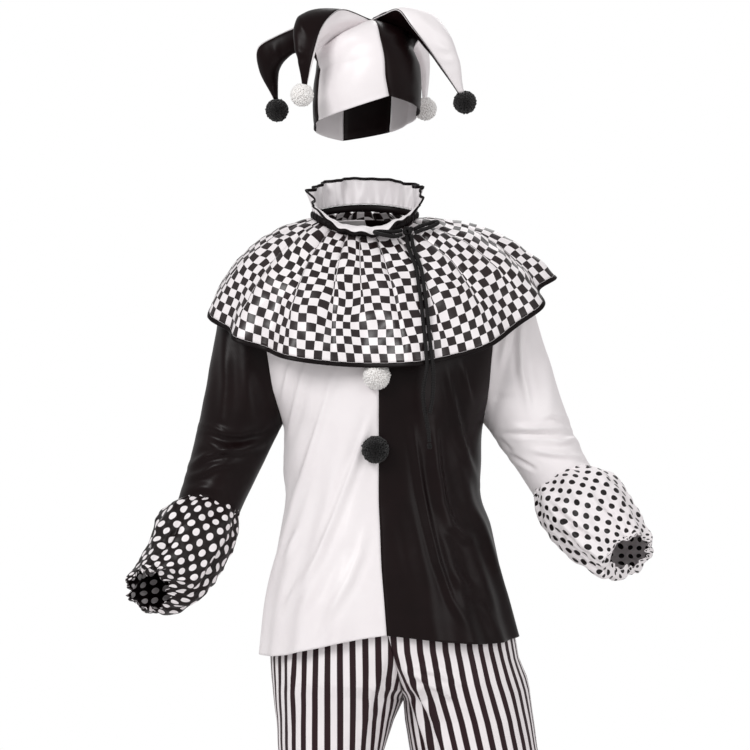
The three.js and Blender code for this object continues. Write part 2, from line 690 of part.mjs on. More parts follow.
// Half panels: the point that each runs into, the middle line of its panel, and how far its face swells at
// the rim, at the crown, at the root of the point, halfway down and at the tip.
const FRONT_SEAM = [-70, -74.6, -76.4, -80, -81.5];
const HAT_PANELS = {
  hat_front_left: { material: WHITE_CLOTH, halves: [["frontLeft", FRONT_SEAM, [28, 7, 12, 7, 5]]] },
  hat_front_right: { material: BLACK_CLOTH, halves: [["frontRight", FRONT_SEAM, [22, 5, 12, 9, 5]]] },
  hat_right_side: {
    material: WHITE_CLOTH,
    halves: [["frontRight", 40, [4, 4, 30, 24, 5]], ["backRight", 40, [4, 4, 14, 12, 5]]],
  },
  hat_back_right: { material: BLACK_CLOTH, halves: [["backRight", 113, [8, 7, 14, 12, 5]]] },
  hat_back_left: { material: WHITE_CLOTH, halves: [["backLeft", 113, [8, 7, 22, 16, 5]]] },
  hat_left_side: {
    material: BLACK_CLOTH,
    halves: [["backLeft", 178, [2, 4, 18, 14, 5]], ["frontLeft", 178, [2, 4, 38, 22, 5]]],
  },
};

function domePoint(degrees, step) {
  const ring = readTable(DOME, step);
  const angle = degrees * DEGREE;
  const turned = angle - BRIM.turn * DEGREE;
  const across = Math.cos(turned) / BRIM.halfWidth;
  const along = Math.sin(turned) / BRIM.halfLength;
  const radius = 1 / Math.hypot(across, along);
  const x = radius * Math.cos(angle);
  const y = radius * Math.sin(angle);
  const low = point(BRIM.xMiddle + x * ring.reach, BRIM.yMiddle + y * ring.reach, 0);
  const brimHeight = BRIM.z + BRIM.leanX * x + BRIM.leanY * y;
  low.x += (CROWN.x - BRIM.xMiddle) * ring.height;
  low.y += (CROWN.y - BRIM.yMiddle) * ring.height;
  low.z = brimHeight + (CROWN.z - brimHeight) * ring.height;
  return low;
}

function spreadAlong(points, steps) {
  const curve = new THREE.CatmullRomCurve3(points, false, "centripetal");
  return Array.from({ length: steps + 1 }, (_, i) => curve.getPointAt(i / steps));
}

function hornLines(horn) {
  const ridge = spreadAlong([CROWN, ...horn.ridge.map((p) => point(...p))], HORN_STEPS);
  const corner = [0, 1, 2].map((step) => domePoint(horn.brim, step));
  const under = spreadAlong([corner[2], ...horn.under.map((p) => point(...p))], DOME_STEPS + HORN_STEPS - 2);
  return { ridge, under: [...corner.slice(0, 2), ...under] };
}

// Both edges of a half panel run from the brim to the tip, and its rows are swelled between them.
function hatHalf([hornName, middle, swell]) {
  const horn = HORNS[hornName];
  const { ridge, under } = hornLines(horn);
  const seam = Array.isArray(middle) ? middle : Array(DOME_STEPS).fill(middle);
  const inner = [...seam.map(domePoint), ...ridge];
  const beyond = ((seam[0] - horn.brim + 540) % 360) - 180;
  const hand = Math.sign(beyond);
  const rows = inner.length;
  const [rim, crown] = swell;
  const swellTable = swell.slice(1).map((depth) => ({ depth }));
  return inner.map((from, row) => {
    const to = under[row];
    const before = Math.max(row - 1, 0);
    const after = Math.min(row + 1, rows - 1);
    const onward = inner[after].clone().add(under[after]).sub(inner[before]).sub(under[before]);
    const out = to.clone().sub(from).cross(onward).normalize().multiplyScalar(-hand);
    const depth = row < DOME_STEPS
      ? rim + (crown - rim) * (row / DOME_STEPS) ** 2
      : readTable(swellTable, (3 * (row - DOME_STEPS)) / HORN_STEPS).depth;
    return Array.from({ length: ACROSS_STEPS + 1 }, (_, i) => {
      const share = i / ACROSS_STEPS;
      const arch = Math.sin(share * Math.PI) ** 0.8;
      return from.clone().lerp(to, share).addScaledVector(out, i % ACROSS_STEPS ? depth * arch : 0);
    });
  });
}

const HEAD_MIDDLE = point(-5, 2, 235);
sewPieces(Object.entries(HAT_PANELS).map(([name, { material, halves }]) => (
  { name, material, grids: halves.map(hatHalf), inside: HEAD_MIDDLE, wall: HAT_WALL, mitred: true, gap: 0.5 })));

// Pompoms

const LOCKS = 40;              // yarn locks on each ball
const CORE_SHARE = 0.62;       // the fused middle of the ball
const HAT_POMPOM_RADIUS = 17.5;
const TUNIC_POMPOM_RADIUS = 20.5;
const TUNIC_POMPOMS = { white: [7, -143.2, -231], black: [5, -142, -341] };

// Every second face of the core carries a three-sided lock, apart from those on the side that is sewn down.
function pompomGeometry(middle, radius, sewnSide) {
  const core = new THREE.IcosahedronGeometry(radius * CORE_SHARE, 1).getAttribute("position");
  const corners = Array.from({ length: core.count }, (_, i) => new THREE.Vector3().fromBufferAttribute(core, i));
  const points = [];
  for (let face = 0; face < corners.length / 3; face++) {
    const [a, b, c] = corners.slice(3 * face, 3 * face + 3);
    const outward = a.clone().add(b).add(c).normalize();
    const carries = face % 2 === 0 && face < 2 * LOCKS && !(sewnSide && outward.dot(sewnSide) > 0.42);
    if (!carries) {
      points.push(a, b, c);
      continue;
    }
    const length = radius * (0.95 + 0.05 * Math.sin(7 * face));
    const tip = outward.clone().multiplyScalar(length);
    points.push(a, b, tip, b, c, tip, c, a, tip);
  }
  const placed = points.map((p) => p.clone().add(middle));
  return closedGeometry(placed, placed.map((_, i) => i));
}

for (const [horn, name, yarn] of [["frontLeft", "front_left", WHITE_YARN], ["frontRight", "front_right", BLACK_YARN],
  ["backRight", "back_right", WHITE_YARN], ["backLeft", "back_left", BLACK_YARN]]) {
  addPiece(`hat_pompom_${name}`, pompomGeometry(point(...HORNS[horn].pompom), HAT_POMPOM_RADIUS), yarn);
}
const TOWARDS_CLOTH = point(0, 1, 0);
addPiece("tunic_pompom_white", pompomGeometry(point(...TUNIC_POMPOMS.white), TUNIC_POMPOM_RADIUS, TOWARDS_CLOTH),
  WHITE_YARN);
addPiece("tunic_pompom_black", pompomGeometry(point(...TUNIC_POMPOMS.black), TUNIC_POMPOM_RADIUS, TOWARDS_CLOTH),
  BLACK_YARN);

// Drawstring: it comes out of the casing, is tied in a bow, and its two free ends hang down the front.

const CORD_DIAMETER = 6;
const CORD_SIDES = 8;
const KNOT = { middle: [54, -67, -13.5], radii: [9, 6.5, 7.5] };
const END_KNOT_RADIUS = 5.2;
const CORD_LONG = [
  [51.8, -70, -21], [54, -80.5, -35], [59, -94, -51], [65.5, -107, -68], [70, -120, -95], [73.5, -136, -123],
  [76.5, -147.5, -150], [79, -159, -177], [81, -170.5, -200], [82, -176, -214], [80, -178, -230],
  [76.5, -177, -250], [76.5, -176, -268], [80, -175, -290], [84, -174, -312], [85.5, -174, -330],
];
const CORD_SHORT = [
  [59, -70.4, -19.6], [61.5, -81.5, -35], [66.5, -95, -51], [73, -107, -68], [77.5, -120, -95], [81, -136, -123],
  [84, -147, -150], [85.2, -151.8, -163.5], [86.5, -156.5, -177], [89, -168, -200], [90.5, -174, -214],
  [91.5, -176, -230], [91, -176, -250], [89.5, -176, -268], [86, -177, -286],
];
const BOW_LEFT = [
  [43.5, -69, -12.5], [36, -79, -14], [23, -88.5, -14.5], [10, -90, -14], [4, -92, -15], [9, -97, -17.5],
  [20, -96.5, -20], [33, -88, -21.5], [44, -76, -19],
];
const BOW_RIGHT = [
  [64, -65, -10], [72, -61, -6], [84, -54, -2], [94, -48, 1], [99, -49, 0.5], [95, -54.5, -3.5],
  [84, -61, -8.5], [73, -68, -12.5], [64.5, -71, -16],
];

function cordGeometry(route, steps) {
  const section = Array.from({ length: CORD_SIDES }, (_, i) => {
    const turn = ringAngle(i, CORD_SIDES);
    return new THREE.Vector2(Math.cos(turn), Math.sin(turn)).multiplyScalar(CORD_DIAMETER / 2);
  });
  const path = new THREE.CatmullRomCurve3(route.map((p) => point(...p)), false, "centripetal");
  return new THREE.ExtrudeGeometry(new THREE.Shape(section), { steps, extrudePath: path, bevelEnabled: false });
}

function knotGeometry(middle, radii, around, down) {
  return new THREE.SphereGeometry(1, around, down).scale(...radii).translate(...middle);
}

addPiece("drawstring_long", cordGeometry(CORD_LONG, 22), BLACK_CORD);
addPiece("drawstring_short", cordGeometry(CORD_SHORT, 18), BLACK_CORD);
addPiece("drawstring_bow_left", cordGeometry(BOW_LEFT, 13), BLACK_CORD);
addPiece("drawstring_bow_right", cordGeometry(BOW_RIGHT, 13), BLACK_CORD);
addPiece("drawstring_knot", knotGeometry(KNOT.middle, KNOT.radii, 12, 8), BLACK_CORD);
const LONG_END = CORD_LONG.at(-1);
addPiece("drawstring_end_knot", knotGeometry([LONG_END[0], LONG_END[1], LONG_END[2] - END_KNOT_RADIUS - 0.3],
  [END_KNOT_RADIUS, END_KNOT_RADIUS, END_KNOT_RADIUS], 8, 6), BLACK_CORD);

export default costume;
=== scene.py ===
"""Jester costume, worn: hat, checked capelet with a drawstring, tunic in two colours and striped trousers."""
import math
import random
import bmesh
import bpy
from mathutils import Matrix, Vector, noise


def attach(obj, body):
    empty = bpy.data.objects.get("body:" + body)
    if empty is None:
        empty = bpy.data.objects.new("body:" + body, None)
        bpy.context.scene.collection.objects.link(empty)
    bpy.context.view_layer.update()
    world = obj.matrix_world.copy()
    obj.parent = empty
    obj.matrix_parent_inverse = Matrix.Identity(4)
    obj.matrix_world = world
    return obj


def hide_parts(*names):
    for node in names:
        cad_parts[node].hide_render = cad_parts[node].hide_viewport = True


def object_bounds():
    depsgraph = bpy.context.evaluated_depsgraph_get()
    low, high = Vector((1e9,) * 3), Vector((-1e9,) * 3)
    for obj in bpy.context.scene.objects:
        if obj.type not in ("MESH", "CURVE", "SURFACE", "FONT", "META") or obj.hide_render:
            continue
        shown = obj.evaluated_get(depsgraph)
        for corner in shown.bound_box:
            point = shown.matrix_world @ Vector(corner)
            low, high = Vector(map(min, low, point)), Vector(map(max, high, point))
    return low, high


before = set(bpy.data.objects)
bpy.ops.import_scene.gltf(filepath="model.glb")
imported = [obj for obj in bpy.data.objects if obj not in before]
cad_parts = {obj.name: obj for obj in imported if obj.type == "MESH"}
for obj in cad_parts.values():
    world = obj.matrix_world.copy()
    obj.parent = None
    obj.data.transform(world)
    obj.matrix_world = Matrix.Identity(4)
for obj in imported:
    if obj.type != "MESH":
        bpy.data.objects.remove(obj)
cad_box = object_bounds()
MM = 0.001                     # tables and sizes below are in millimetres


# Studio: a pale floor, a pale surround and three large soft lights. The camera looks straight at the front
# from far away, level with the waist, and takes in what the photograph does.
PHOTO_FIELD = 1125 * MM        # 750 pixels of 1.5 mm
CAMERA_LENS = 400              # from 12 m away, so that near folds look no larger than far ones
CAMERA_SENSOR = 36
CAMERA_SIGHT = 60
CAMERA_AIM = Vector((4.5, -90, -229.5)) * MM
FLOOR_DROP = 2 * MM
FLOOR_SIZE = 3


def linear(hex_colour):
    """An sRGB hex value as linear red, green, blue and alpha."""
    shares = [int(hex_colour[i:i + 2], 16) / 255 for i in (1, 3, 5)]
    return [s / 12.92 if s <= 0.04045 else ((s + 0.055) / 1.055) ** 2.4 for s in shares] + [1]


def add(tree, kind, settings=None, links=None, values=None):
    """Adds a node, with its settings, its linked inputs and its plain input values."""
    node = tree.nodes.new(kind)
    for key, value in (settings or {}).items():
        setattr(node, key, value)
    for key, value in (values or {}).items():
        node.inputs[key].default_value = value
    for key, source in (links or {}).items():
        tree.links.new(source, node.inputs[key])
    return node


camera = bpy.data.objects.new("camera", bpy.data.cameras.new("camera"))
bpy.context.scene.collection.objects.link(camera)
bpy.context.scene.camera = camera
camera.data.lens = CAMERA_LENS
camera.data.sensor_width = CAMERA_SENSOR
camera.data.clip_end = CAMERA_SIGHT
camera.location = CAMERA_AIM - Vector((0, PHOTO_FIELD * CAMERA_LENS / CAMERA_SENSOR, 0))
camera.rotation_euler = (math.pi / 2, 0, 0)
bpy.context.scene.view_settings.view_transform = "Standard"

world = bpy.data.worlds.new("surround")
bpy.context.scene.world = world
world.use_nodes = True
SURROUND_LIGHT = 0.56
surround = world.node_tree.nodes["Background"]
surround.inputs["Color"].default_value = linear("#ffffff")
ray = add(world.node_tree, "ShaderNodeLightPath")
seen = add(world.node_tree, "ShaderNodeMapRange", links={"Value": ray.outputs["Is Camera Ray"]},
           values={"To Min": SURROUND_LIGHT, "To Max": 1})
world.node_tree.links.new(seen.outputs["Result"], surround.inputs["Strength"])

LIGHTS = {                     # place in metres, size in metres, power in watts
    "key": ((-2.2, -3.2, 1.9), 1.6, 92),
    "fill": ((2.6, -3.0, 0.7), 2.2, 34),
    "rim": ((0.9, 2.6, 2.0), 1.8, 26),
}
for name, (place, size, power) in LIGHTS.items():
    light = bpy.data.objects.new(name, bpy.data.lights.new(name, "AREA"))
    bpy.context.scene.collection.objects.link(light)
    light.data.size = size
    light.data.energy = power
    light.location = place
    light.rotation_euler = (CAMERA_AIM - Vector(place)).to_track_quat("-Z", "Y").to_euler()


def finish_mesh(name, bm, material):
    """Makes an object of a finished bmesh, with smooth faces and its material."""
    mesh = bpy.data.meshes.new(name)
    for face in bm.faces:
        face.smooth = True
    bm.to_mesh(mesh)
    bm.free()
    piece = bpy.data.objects.new(name, mesh)
    bpy.context.scene.collection.objects.link(piece)
    mesh.materials.append(material)
    return piece


def placed(piece, slot, *nodes):
    """Hides the solids that a piece replaces; its slot is not used. Nothing moves, so every piece rides on
    root.
    """
    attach(piece, "root")
    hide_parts(*nodes)
    return piece


def new_material(name, roughness, sheen=0, sheen_roughness=0.5, shine=0.5):
    material = bpy.data.materials.new(name)
    material.use_nodes = True
    tree = material.node_tree
    shader = tree.nodes["Principled BSDF"]
    shader.inputs["Roughness"].default_value = roughness
    shader.inputs["Specular IOR Level"].default_value = shine
    shader.inputs["Sheen Weight"].default_value = sheen
    shader.inputs["Sheen Roughness"].default_value = sheen_roughness
    return material, tree, shader


def two_tone(tree, factor, first, second):
    """A colour between two, the second where the factor is 1."""
    mixed = add(tree, "ShaderNodeMix", {"data_type": "RGBA"}, {"Factor": factor},
                {"A": linear(first), "B": linear(second)})
    return mixed.outputs["Result"]


paper, tree, shader = new_material("matt white paper", 0.9)
shader.inputs["Base Color"].default_value = linear("#f4f3f3")
bm = bmesh.new()
bmesh.ops.create_grid(bm, x_segments=1, y_segments=1, size=FLOOR_SIZE / 2)
bmesh.ops.translate(bm, verts=bm.verts, vec=(0, 0, cad_box[0][2] - FLOOR_DROP))
finish_mesh("floor", bm, paper)


# Drawstring: black braided cord of 6 mm. It comes out of the neck casing, is tied in a bow, and its two free
# ends hang down the front: the longer one ends in a knot.
CORD_DIAMETER = 6
CORD_LONG = [
    (51.8, -70, -21), (54, -80.5, -35), (59, -94, -51), (65.5, -107, -68), (70, -120, -95),
    (73.5, -136, -123), (76.5, -147.5, -150), (79, -159, -177), (81, -170.5, -200), (82, -176, -214),
    (80, -178, -230), (76.5, -177, -250), (76.5, -176, -268), (80, -175, -290), (84, -174, -312),
    (85.5, -174, -330),
]
CORD_SHORT = [
    (59, -70.4, -19.6), (61.5, -81.5, -35), (66.5, -95, -51), (73, -107, -68), (77.5, -120, -95),
    (81, -136, -123), (84, -147, -150), (85.2, -151.8, -163.5), (86.5, -156.5, -177), (89, -168, -200),
    (90.5, -174, -214), (91.5, -176, -230), (91, -176, -250), (89.5, -176, -268), (86, -177, -286),
]
BOW_LEFT = [
    (43.5, -69, -12.5), (36, -79, -14), (23, -88.5, -14.5), (10, -90, -14), (4, -92, -15), (9, -97, -17.5),
    (20, -96.5, -20), (33, -88, -21.5), (44, -76, -19),
]
BOW_RIGHT = [
    (64, -65, -10), (72, -61, -6), (84, -54, -2), (94, -48, 1), (99, -49, 0.5), (95, -54.5, -3.5),
    (84, -61, -8.5), (73, -68, -12.5), (64.5, -71, -16),
]
KNOT_MIDDLE = Vector((54, -67, -13.5))
KNOT_REACH = (5.6, 3.2, 4.4)
END_KNOT_MIDDLE = Vector((85.5, -174, -335.5))
END_KNOT_REACH = (0, 2.2, 2.4)

# Braided polyester cord: matt black strands that cross at a slant, so it glints in short slanted dashes, each
# raised crest also given a painted highlight.
braid, tree, shader = new_material("braided black cord", 0.62, 0.06, 0.4, 0.25)
BRAID_PITCH = 3.2
WAVE_LENGTH = math.tau / 20    # length of one wave of the wave texture at scale 1
where = add(tree, "ShaderNodeTexCoord")
turned = add(tree, "ShaderNodeMapping", links={"Vector": where.outputs["Object"]},
             values={"Rotation": (0.5, 0, 0.7)})
strands = add(tree, "ShaderNodeTexWave", {"bands_direction": "Z"}, {"Vector": turned.outputs["Vector"]},
              {"Scale": WAVE_LENGTH / (BRAID_PITCH * MM), "Distortion": 0.6, "Detail": 1})
raised = add(tree, "ShaderNodeBump", links={"Height": strands.outputs["Color"]},
             values={"Strength": 0.7, "Distance": 0.5 * MM})
# painted highlight: each strand's raised crest is coloured a lighter black than the rest of the cord
tree.links.new(two_tone(tree, strands.outputs["Color"], "#050304", "#120e0f"), shader.inputs["Base Color"])
tree.links.new(raised.outputs["Normal"], shader.inputs["Normal"])


def cord_piece(name, route, node, diameter=CORD_DIAMETER):
    """A cord along a smooth line through the points of its route."""
    curve = bpy.data.curves.new(name, "CURVE")
    curve.dimensions = "3D"
    curve.bevel_depth = diameter * MM / 2
    curve.bevel_resolution = 3
    curve.resolution_u = 8
    curve.use_fill_caps = True
    spline = curve.splines.new("BEZIER")
    spline.bezier_points.add(len(route) - 1)
    for knot, place in zip(spline.bezier_points, route):
        knot.co = Vector(place) * MM
        knot.handle_left_type = knot.handle_right_type = "AUTO"
    curve.materials.append(braid)
    piece = bpy.data.objects.new(name, curve)
    bpy.context.scene.collection.objects.link(piece)
    return placed(piece, "black_cord", node)


def wound(middle, reach, turns, lift):
    """Points of a cord wound round the middle, each turn crossing the one before."""
    count = int(turns * 8)
    points = []
    for i in range(count + 1):
        turn = math.tau * i / 8
        side = lift * (i / count - 0.5) + 0.25 * lift * math.sin(1.5 * turn)
        points.append(middle + Vector((side, reach[1] * math.cos(turn), reach[2] * math.sin(turn))))
    return points


long_end = cord_piece("cord_long", CORD_LONG, "drawstring_long")
short_end = cord_piece("cord_short", CORD_SHORT, "drawstring_short")
bow_left = cord_piece("cord_bow_left", BOW_LEFT, "drawstring_bow_left")
bow_right = cord_piece("cord_bow_right", BOW_RIGHT, "drawstring_bow_right")
knot = cord_piece("cord_knot", wound(KNOT_MIDDLE, KNOT_REACH, 2.5, 9), "drawstring_knot")
end_knot = cord_piece("cord_end_knot", wound(END_KNOT_MIDDLE, END_KNOT_REACH, 1.75, 3.4),
                      "drawstring_end_knot", 0.8 * CORD_DIAMETER)


# Tunic: four panels of polyester satin, white at the viewer's left and black at the right, sewn at the
# centre, the sides and the armholes. It hangs loosely, in long soft folds that fan out towards the hem.
CLOTH_WALL = 1.2
LEFT, RIGHT, FRONT, BACK = math.pi, 0, 1.5 * math.pi, 0.5 * math.pi


def columns(names, rows):
    return [dict(zip(names.split(), row)) for row in rows]


def read_table(table, position):
    """Reads a table between its rows, on a smooth curve through each column."""
    last = len(table) - 1
    row = min(max(math.floor(position), 0), last - 1)
    t = min(max(position - row, 0), 1)
    a, b, c, d = (table[min(max(row + step, 0), last)] for step in (-1, 0, 1, 2))
    value = {}
    for key in b:
        slope = c[key] - a[key]
        bend = 2 * a[key] - 5 * b[key] + 4 * c[key] - d[key]
        turn = -a[key] + 3 * b[key] - 3 * c[key] + d[key]
        value[key] = 0.5 * (2 * b[key] + t * (slope + t * (bend + t * turn)))
    return value


def sewn_sheet(across, along, row_at, inside, closed=False, raised=None, cloth_at=None, outward=None):
    """Bends a woven rectangle into place. row_at(v) gives the function that places a share u of that row, and
    raised and outward how far, and which way, the folds lift each point. cloth_at gives its place on the flat
    cloth, in millimetres, for the printed pattern."""
    bm = bmesh.new()
    bmesh.ops.create_grid(bm, x_segments=across, y_segments=along, size=1)
    bm.verts.ensure_lookup_table()
    weave = bm.loops.layers.uv.new("cloth")
    width = across + 1
    shares = {vert: (vert.index % width / across, vert.index // width / along) for vert in bm.verts}
    for row in range(along + 1):
        place = row_at(row / along)
        for column in range(width):
            bm.verts[row * width + column].co = place(column / across)
    for face in bm.faces:
        for loop in face.loops:
            u, v = shares[loop.vert]
            on_cloth = cloth_at(u, v, face) if cloth_at else (u, v)
            loop[weave].uv = (on_cloth[0] * MM, on_cloth[1] * MM)
    if closed:
        bmesh.ops.remove_doubles(bm, verts=bm.verts, dist=0.02)
    bm.normal_update()
    if facing_out(bm, inside) < 0:
        bmesh.ops.reverse_faces(bm, faces=bm.faces)
    if raised:
        bm.normal_update()
        lifts = [(outward(vert.co) if outward else vert.normal) * raised(vert.co, *shares[vert])
                 for vert in bm.verts]
        for vert, lift in zip(bm.verts, lifts):
            vert.co += lift
    bmesh.ops.scale(bm, verts=bm.verts, vec=(MM, MM, MM))
    return bm


def facing_out(bm, inside):
    """1 where the faces look away from the point inside, and -1 where they look towards it."""
    middle = Vector(inside)
    facing = sum(face.normal.dot(face.calc_center_median() - middle) * face.calc_area() for face in bm.faces)
    return 1 if facing > 0 else -1


def cloth_piece(name, bm, material, slot, node, wall=CLOTH_WALL):
    """A sewn sheet with the thickness of its cloth, in place of its solid."""
    piece = finish_mesh(name, bm, material)
    shell = piece.modifiers.new("cloth thickness", "SOLIDIFY")
    shell.thickness = wall * MM
    shell.offset = -1
    return placed(piece, slot, node)


TORSO = columns("zLeft xLeft zRight xRight xMiddle zFront yFront zBack yBack", [
    (0, -86, -1, 64, -11, -31, -60, 6, 65),
    (-18, -128, -9, 116, -4, -60, -83, -20, 88),
    (-46, -170, -42, 190, 2, -92, -106, -62, 112),
    (-105, -181, -100, 203, 6, -130, -120, -112, 122),
    (-175, -179, -172, 201, 9, -185, -128, -178, 126),
    (-245, -162, -243, 188, 10, -247, -130, -246, 124),
    (-304, -135, -302, 168, 10, -304, -129, -304, 120),
    (-364, -133, -362, 165, 10, -364, -128, -364, 118),
    (-417, -131, -414, 165, 10, -417, -128, -417, 118),
    (-462, -138, -456, 179, 12, -462, -132, -462, 122),
    (-515, -148, -507, 190, 14, -515, -138, -515, 129),
    (-575, -157, -562, 202, 18, -567, -143, -575, 135),
    (-646, -162, -618, 215, 22, -619, -148, -640, 140),
])
SHOULDER_ROW, UNDERARM_ROW, HEM_ROW = 2, 6, 12
TORSO_ROUNDING = 0.88
HEM_DIP = 14
ARMHOLE_OPENING = math.radians(26)

# Broad folds: where each starts and reaches the hem, in degrees round the body.
BROAD_FOLDS = columns("angleTop angleHem rowTop width depth", [
    (263, 249, 4, 7, 7), (254, 229, 5, 8, 12), (240, 208, 4, 8, 9), (222, 190, 6, 8, 11),
    (279, 290, 6, 7, 8), (285, 307, 4, 8, 12), (298, 328, 5, 8, 9), (318, 349, 6, 8, 10),
    (80, 66, 5, 10, 10), (64, 38, 4, 10, 11), (40, 14, 6, 9, 8),
    (98, 112, 5, 10, 9), (114, 140, 4, 10, 12), (138, 165, 6, 9, 8),
])

# Creases that catch the light: the line of each in the front view (x, z), then its half width and height.
FRONT_CREASES = [
    ([(-56, -223), (-79, -299), (-100, -366), (-122, -437), (-137, -480)], 5.5, 3.4),
    ([(1, -284), (-18, -342), (-39, -397), (-57, -446), (-79, -498), (-100, -535), (-128, -578)], 5.5, 4.2),
    ([(-7, -449), (-18, -498), (-33, -535), (-51, -566), (-88, -628)], 6, 3.2),
    ([(-98, -205), (-111, -262), (-128, -330)], 5, 3.2),
    ([(-120, -205), (-137, -275)], 4.5, 2.6),
    ([(-112, -462), (-130, -505)], 4, 2.4),
    ([(-103, -522), (-128, -580)], 5, 2.4),
    ([(-70, -250), (-98, -330), (-120, -400)], 9, -2.6),
    ([(-30, -470), (-70, -545), (-105, -600)], 10, -2.4),
    ([(58, -296), (66, -345), (74, -400), (84, -452), (98, -510), (118, -566), (147, -612)], 5, 3.6),
    ([(112, -218), (120, -262), (131, -318), (146, -362), (160, -396)], 5, 3.2),
    ([(134, -210), (141, -246), (148, -270)], 4, 2.4),
    ([(92, -300), (96, -370), (104, -420), (118, -455), (137, -474), (160, -476)], 7, 4.6),
    ([(110, -300), (118, -370), (128, -430), (140, -462)], 9, -3.4),
    ([(118, -520), (140, -545), (165, -552)], 7, 2),
    ([(150, -560), (172, -590), (190, -622)], 7, 2.4),
    ([(40, -420), (56, -500), (80, -580)], 12, -2.2),
]
BACK_CREASES = [
    ([(-40, -235), (-62, -340), (-84, -430), (-104, -520), (-122, -600)], 6, 3.6),
    ([(-8, -330), (-22, -420), (-44, -520), (-62, -632)], 7, 3.2),
    ([(-96, -230), (-120, -320), (-134, -400)], 5.5, 3),
    ([(52, -240), (70, -330), (92, -430), (118, -530), (142, -606)], 6, 3.6),
    ([(24, -320), (38, -430), (60, -540), (76, -628)], 7, 3),
    ([(110, -225), (130, -310), (150, -400)], 5.5, 3),
    ([(-60, -458), (-20, -476), (30, -478), (80, -462)], 9, 2.6),
]
LEAN_OF_CREASE = 1.9           # the trough beside a crease, in half widths
CREASE_GAIN = 1.35             # how much sharper all creases stand than their tables say


def line_distance(line, x, z):
    """How far a point lies from a line of points, with its side, and the share of the line passed there."""
    best, passed, total = (1e9, 1, 0), 0, 0
    for (x0, z0), (x1, z1) in zip(line, line[1:]):
        dx, dz = x1 - x0, z1 - z0
        size = math.hypot(dx, dz)
        t = min(max(((x - x0) * dx + (z - z0) * dz) / size ** 2, 0), 1)
        away = math.hypot(x - x0 - t * dx, z - z0 - t * dz)
        if away < best[0]:
            best = (away, math.copysign(1, dx * (z - z0) - dz * (x - x0)), passed + t * size)
        passed += size
    return best[0] * best[1], best[2] / passed


def crease_height(creases, x, z):
    """A crease rises over its line, sinks beside it and fades out at both ends."""
    height = 0
    for line, width, lift in creases:
        reach = 4 * width
        if not (min(line[0][1], line[-1][1]) - reach < z < max(line[0][1], line[-1][1]) + reach):
            continue
        away, share = line_distance(line, x, z)
        across = away / width
        if abs(across) < 4:
            fade = math.sin(math.pi * min(max(share, 0.02), 0.98)) ** 0.7
            trough = math.exp(-((across - LEAN_OF_CREASE) ** 2)) + math.exp(-((across + LEAN_OF_CREASE) ** 2))
            height += lift * fade * (math.exp(-across * across) - 0.35 * trough)
    return CREASE_GAIN * height


def soft_bumps(spot, size, height):
    """Shallow unevenness of loose cloth."""
    return height * noise.noise(Vector(spot) / size)


def torso_row(row):
    ring = read_table(TORSO, row)
    low = min(max(row - HEM_ROW + 1, 0), 1)

    def place(angle):
        side, face = math.cos(angle), math.sin(angle)
        x_side, z_side = (ring["xRight"], ring["zRight"]) if side > 0 else (ring["xLeft"], ring["zLeft"])
        y_face, z_face = (ring["yBack"], ring["zBack"]) if face > 0 else (ring["yFront"], ring["zFront"])
        out = broad_folds(angle, row)
        x = ring["xMiddle"] + (x_side - ring["xMiddle"]) * abs(side) ** TORSO_ROUNDING + out * side
        y = y_face * abs(face) ** TORSO_ROUNDING + out * face
        z = z_side + (z_face - z_side) * face * face - low * HEM_DIP * abs(math.sin(2 * angle))
        return Vector((x, y, z))
    return place


def broad_folds(angle, row):
    height = 0
    for fold in BROAD_FOLDS:
        along = min(max((row - fold["rowTop"]) / (HEM_ROW - fold["rowTop"]), 0), 1)
        middle = fold["angleTop"] + (fold["angleHem"] - fold["angleTop"]) * along
        away = (((math.degrees(angle) - middle + 540) % 360) - 180) / fold["width"]
        height += fold["depth"] * math.sin(along * math.pi / 2) * math.exp(-away * away)
    return height


def armhole_opening(row):
    along = (row - SHOULDER_ROW) / (UNDERARM_ROW - SHOULDER_ROW)
    return ARMHOLE_OPENING * math.sin(along * math.pi) ** 0.6 if 0 < along < 1 else 0


def tunic_outward(spot):
    return Vector((spot.x - 12, spot.y, 0)).normalized()


def tunic_lift(spot, u, v):
    creases = FRONT_CREASES if spot.y < 0 else BACK_CREASES
    lift = crease_height(creases, spot.x, spot.z) + soft_bumps(spot, 60, 1.2)
    seam = math.exp(-(((spot.x - 12) / 3) ** 2)) * 0.8
    return (lift * min(1, (0.98 - v) * 12 + 0.4) - seam) * min(1, max(0, (-spot.z - 60) / 100))


def tunic_panel(centre, side):
    towards = math.copysign(1, side - centre)

    def row_at(v):
        row = v * HEM_ROW
        place = torso_row(row)
        edge = side - towards * armhole_opening(row)
        return lambda u: place(centre + (edge - centre) * u)
    return sewn_sheet(76, 150, row_at, (15, 0, -330), raised=tunic_lift, outward=tunic_outward,
                      cloth_at=lambda u, v, face: (u * 250, v * 640))


# Polyester satin, woven with long floats: smooth, so it has a soft broad sheen, with a bright line on each
# fold. The thread is drawn at 1.4 mm, far coarser than real, because real thread is too fine to show.
THREAD_PITCH = 1.4
WHITE, WHITE_SHADE = "#f3eeef", "#e6dfe1"
BLACK, BLACK_SHEEN = "#090303", "#190c0d"


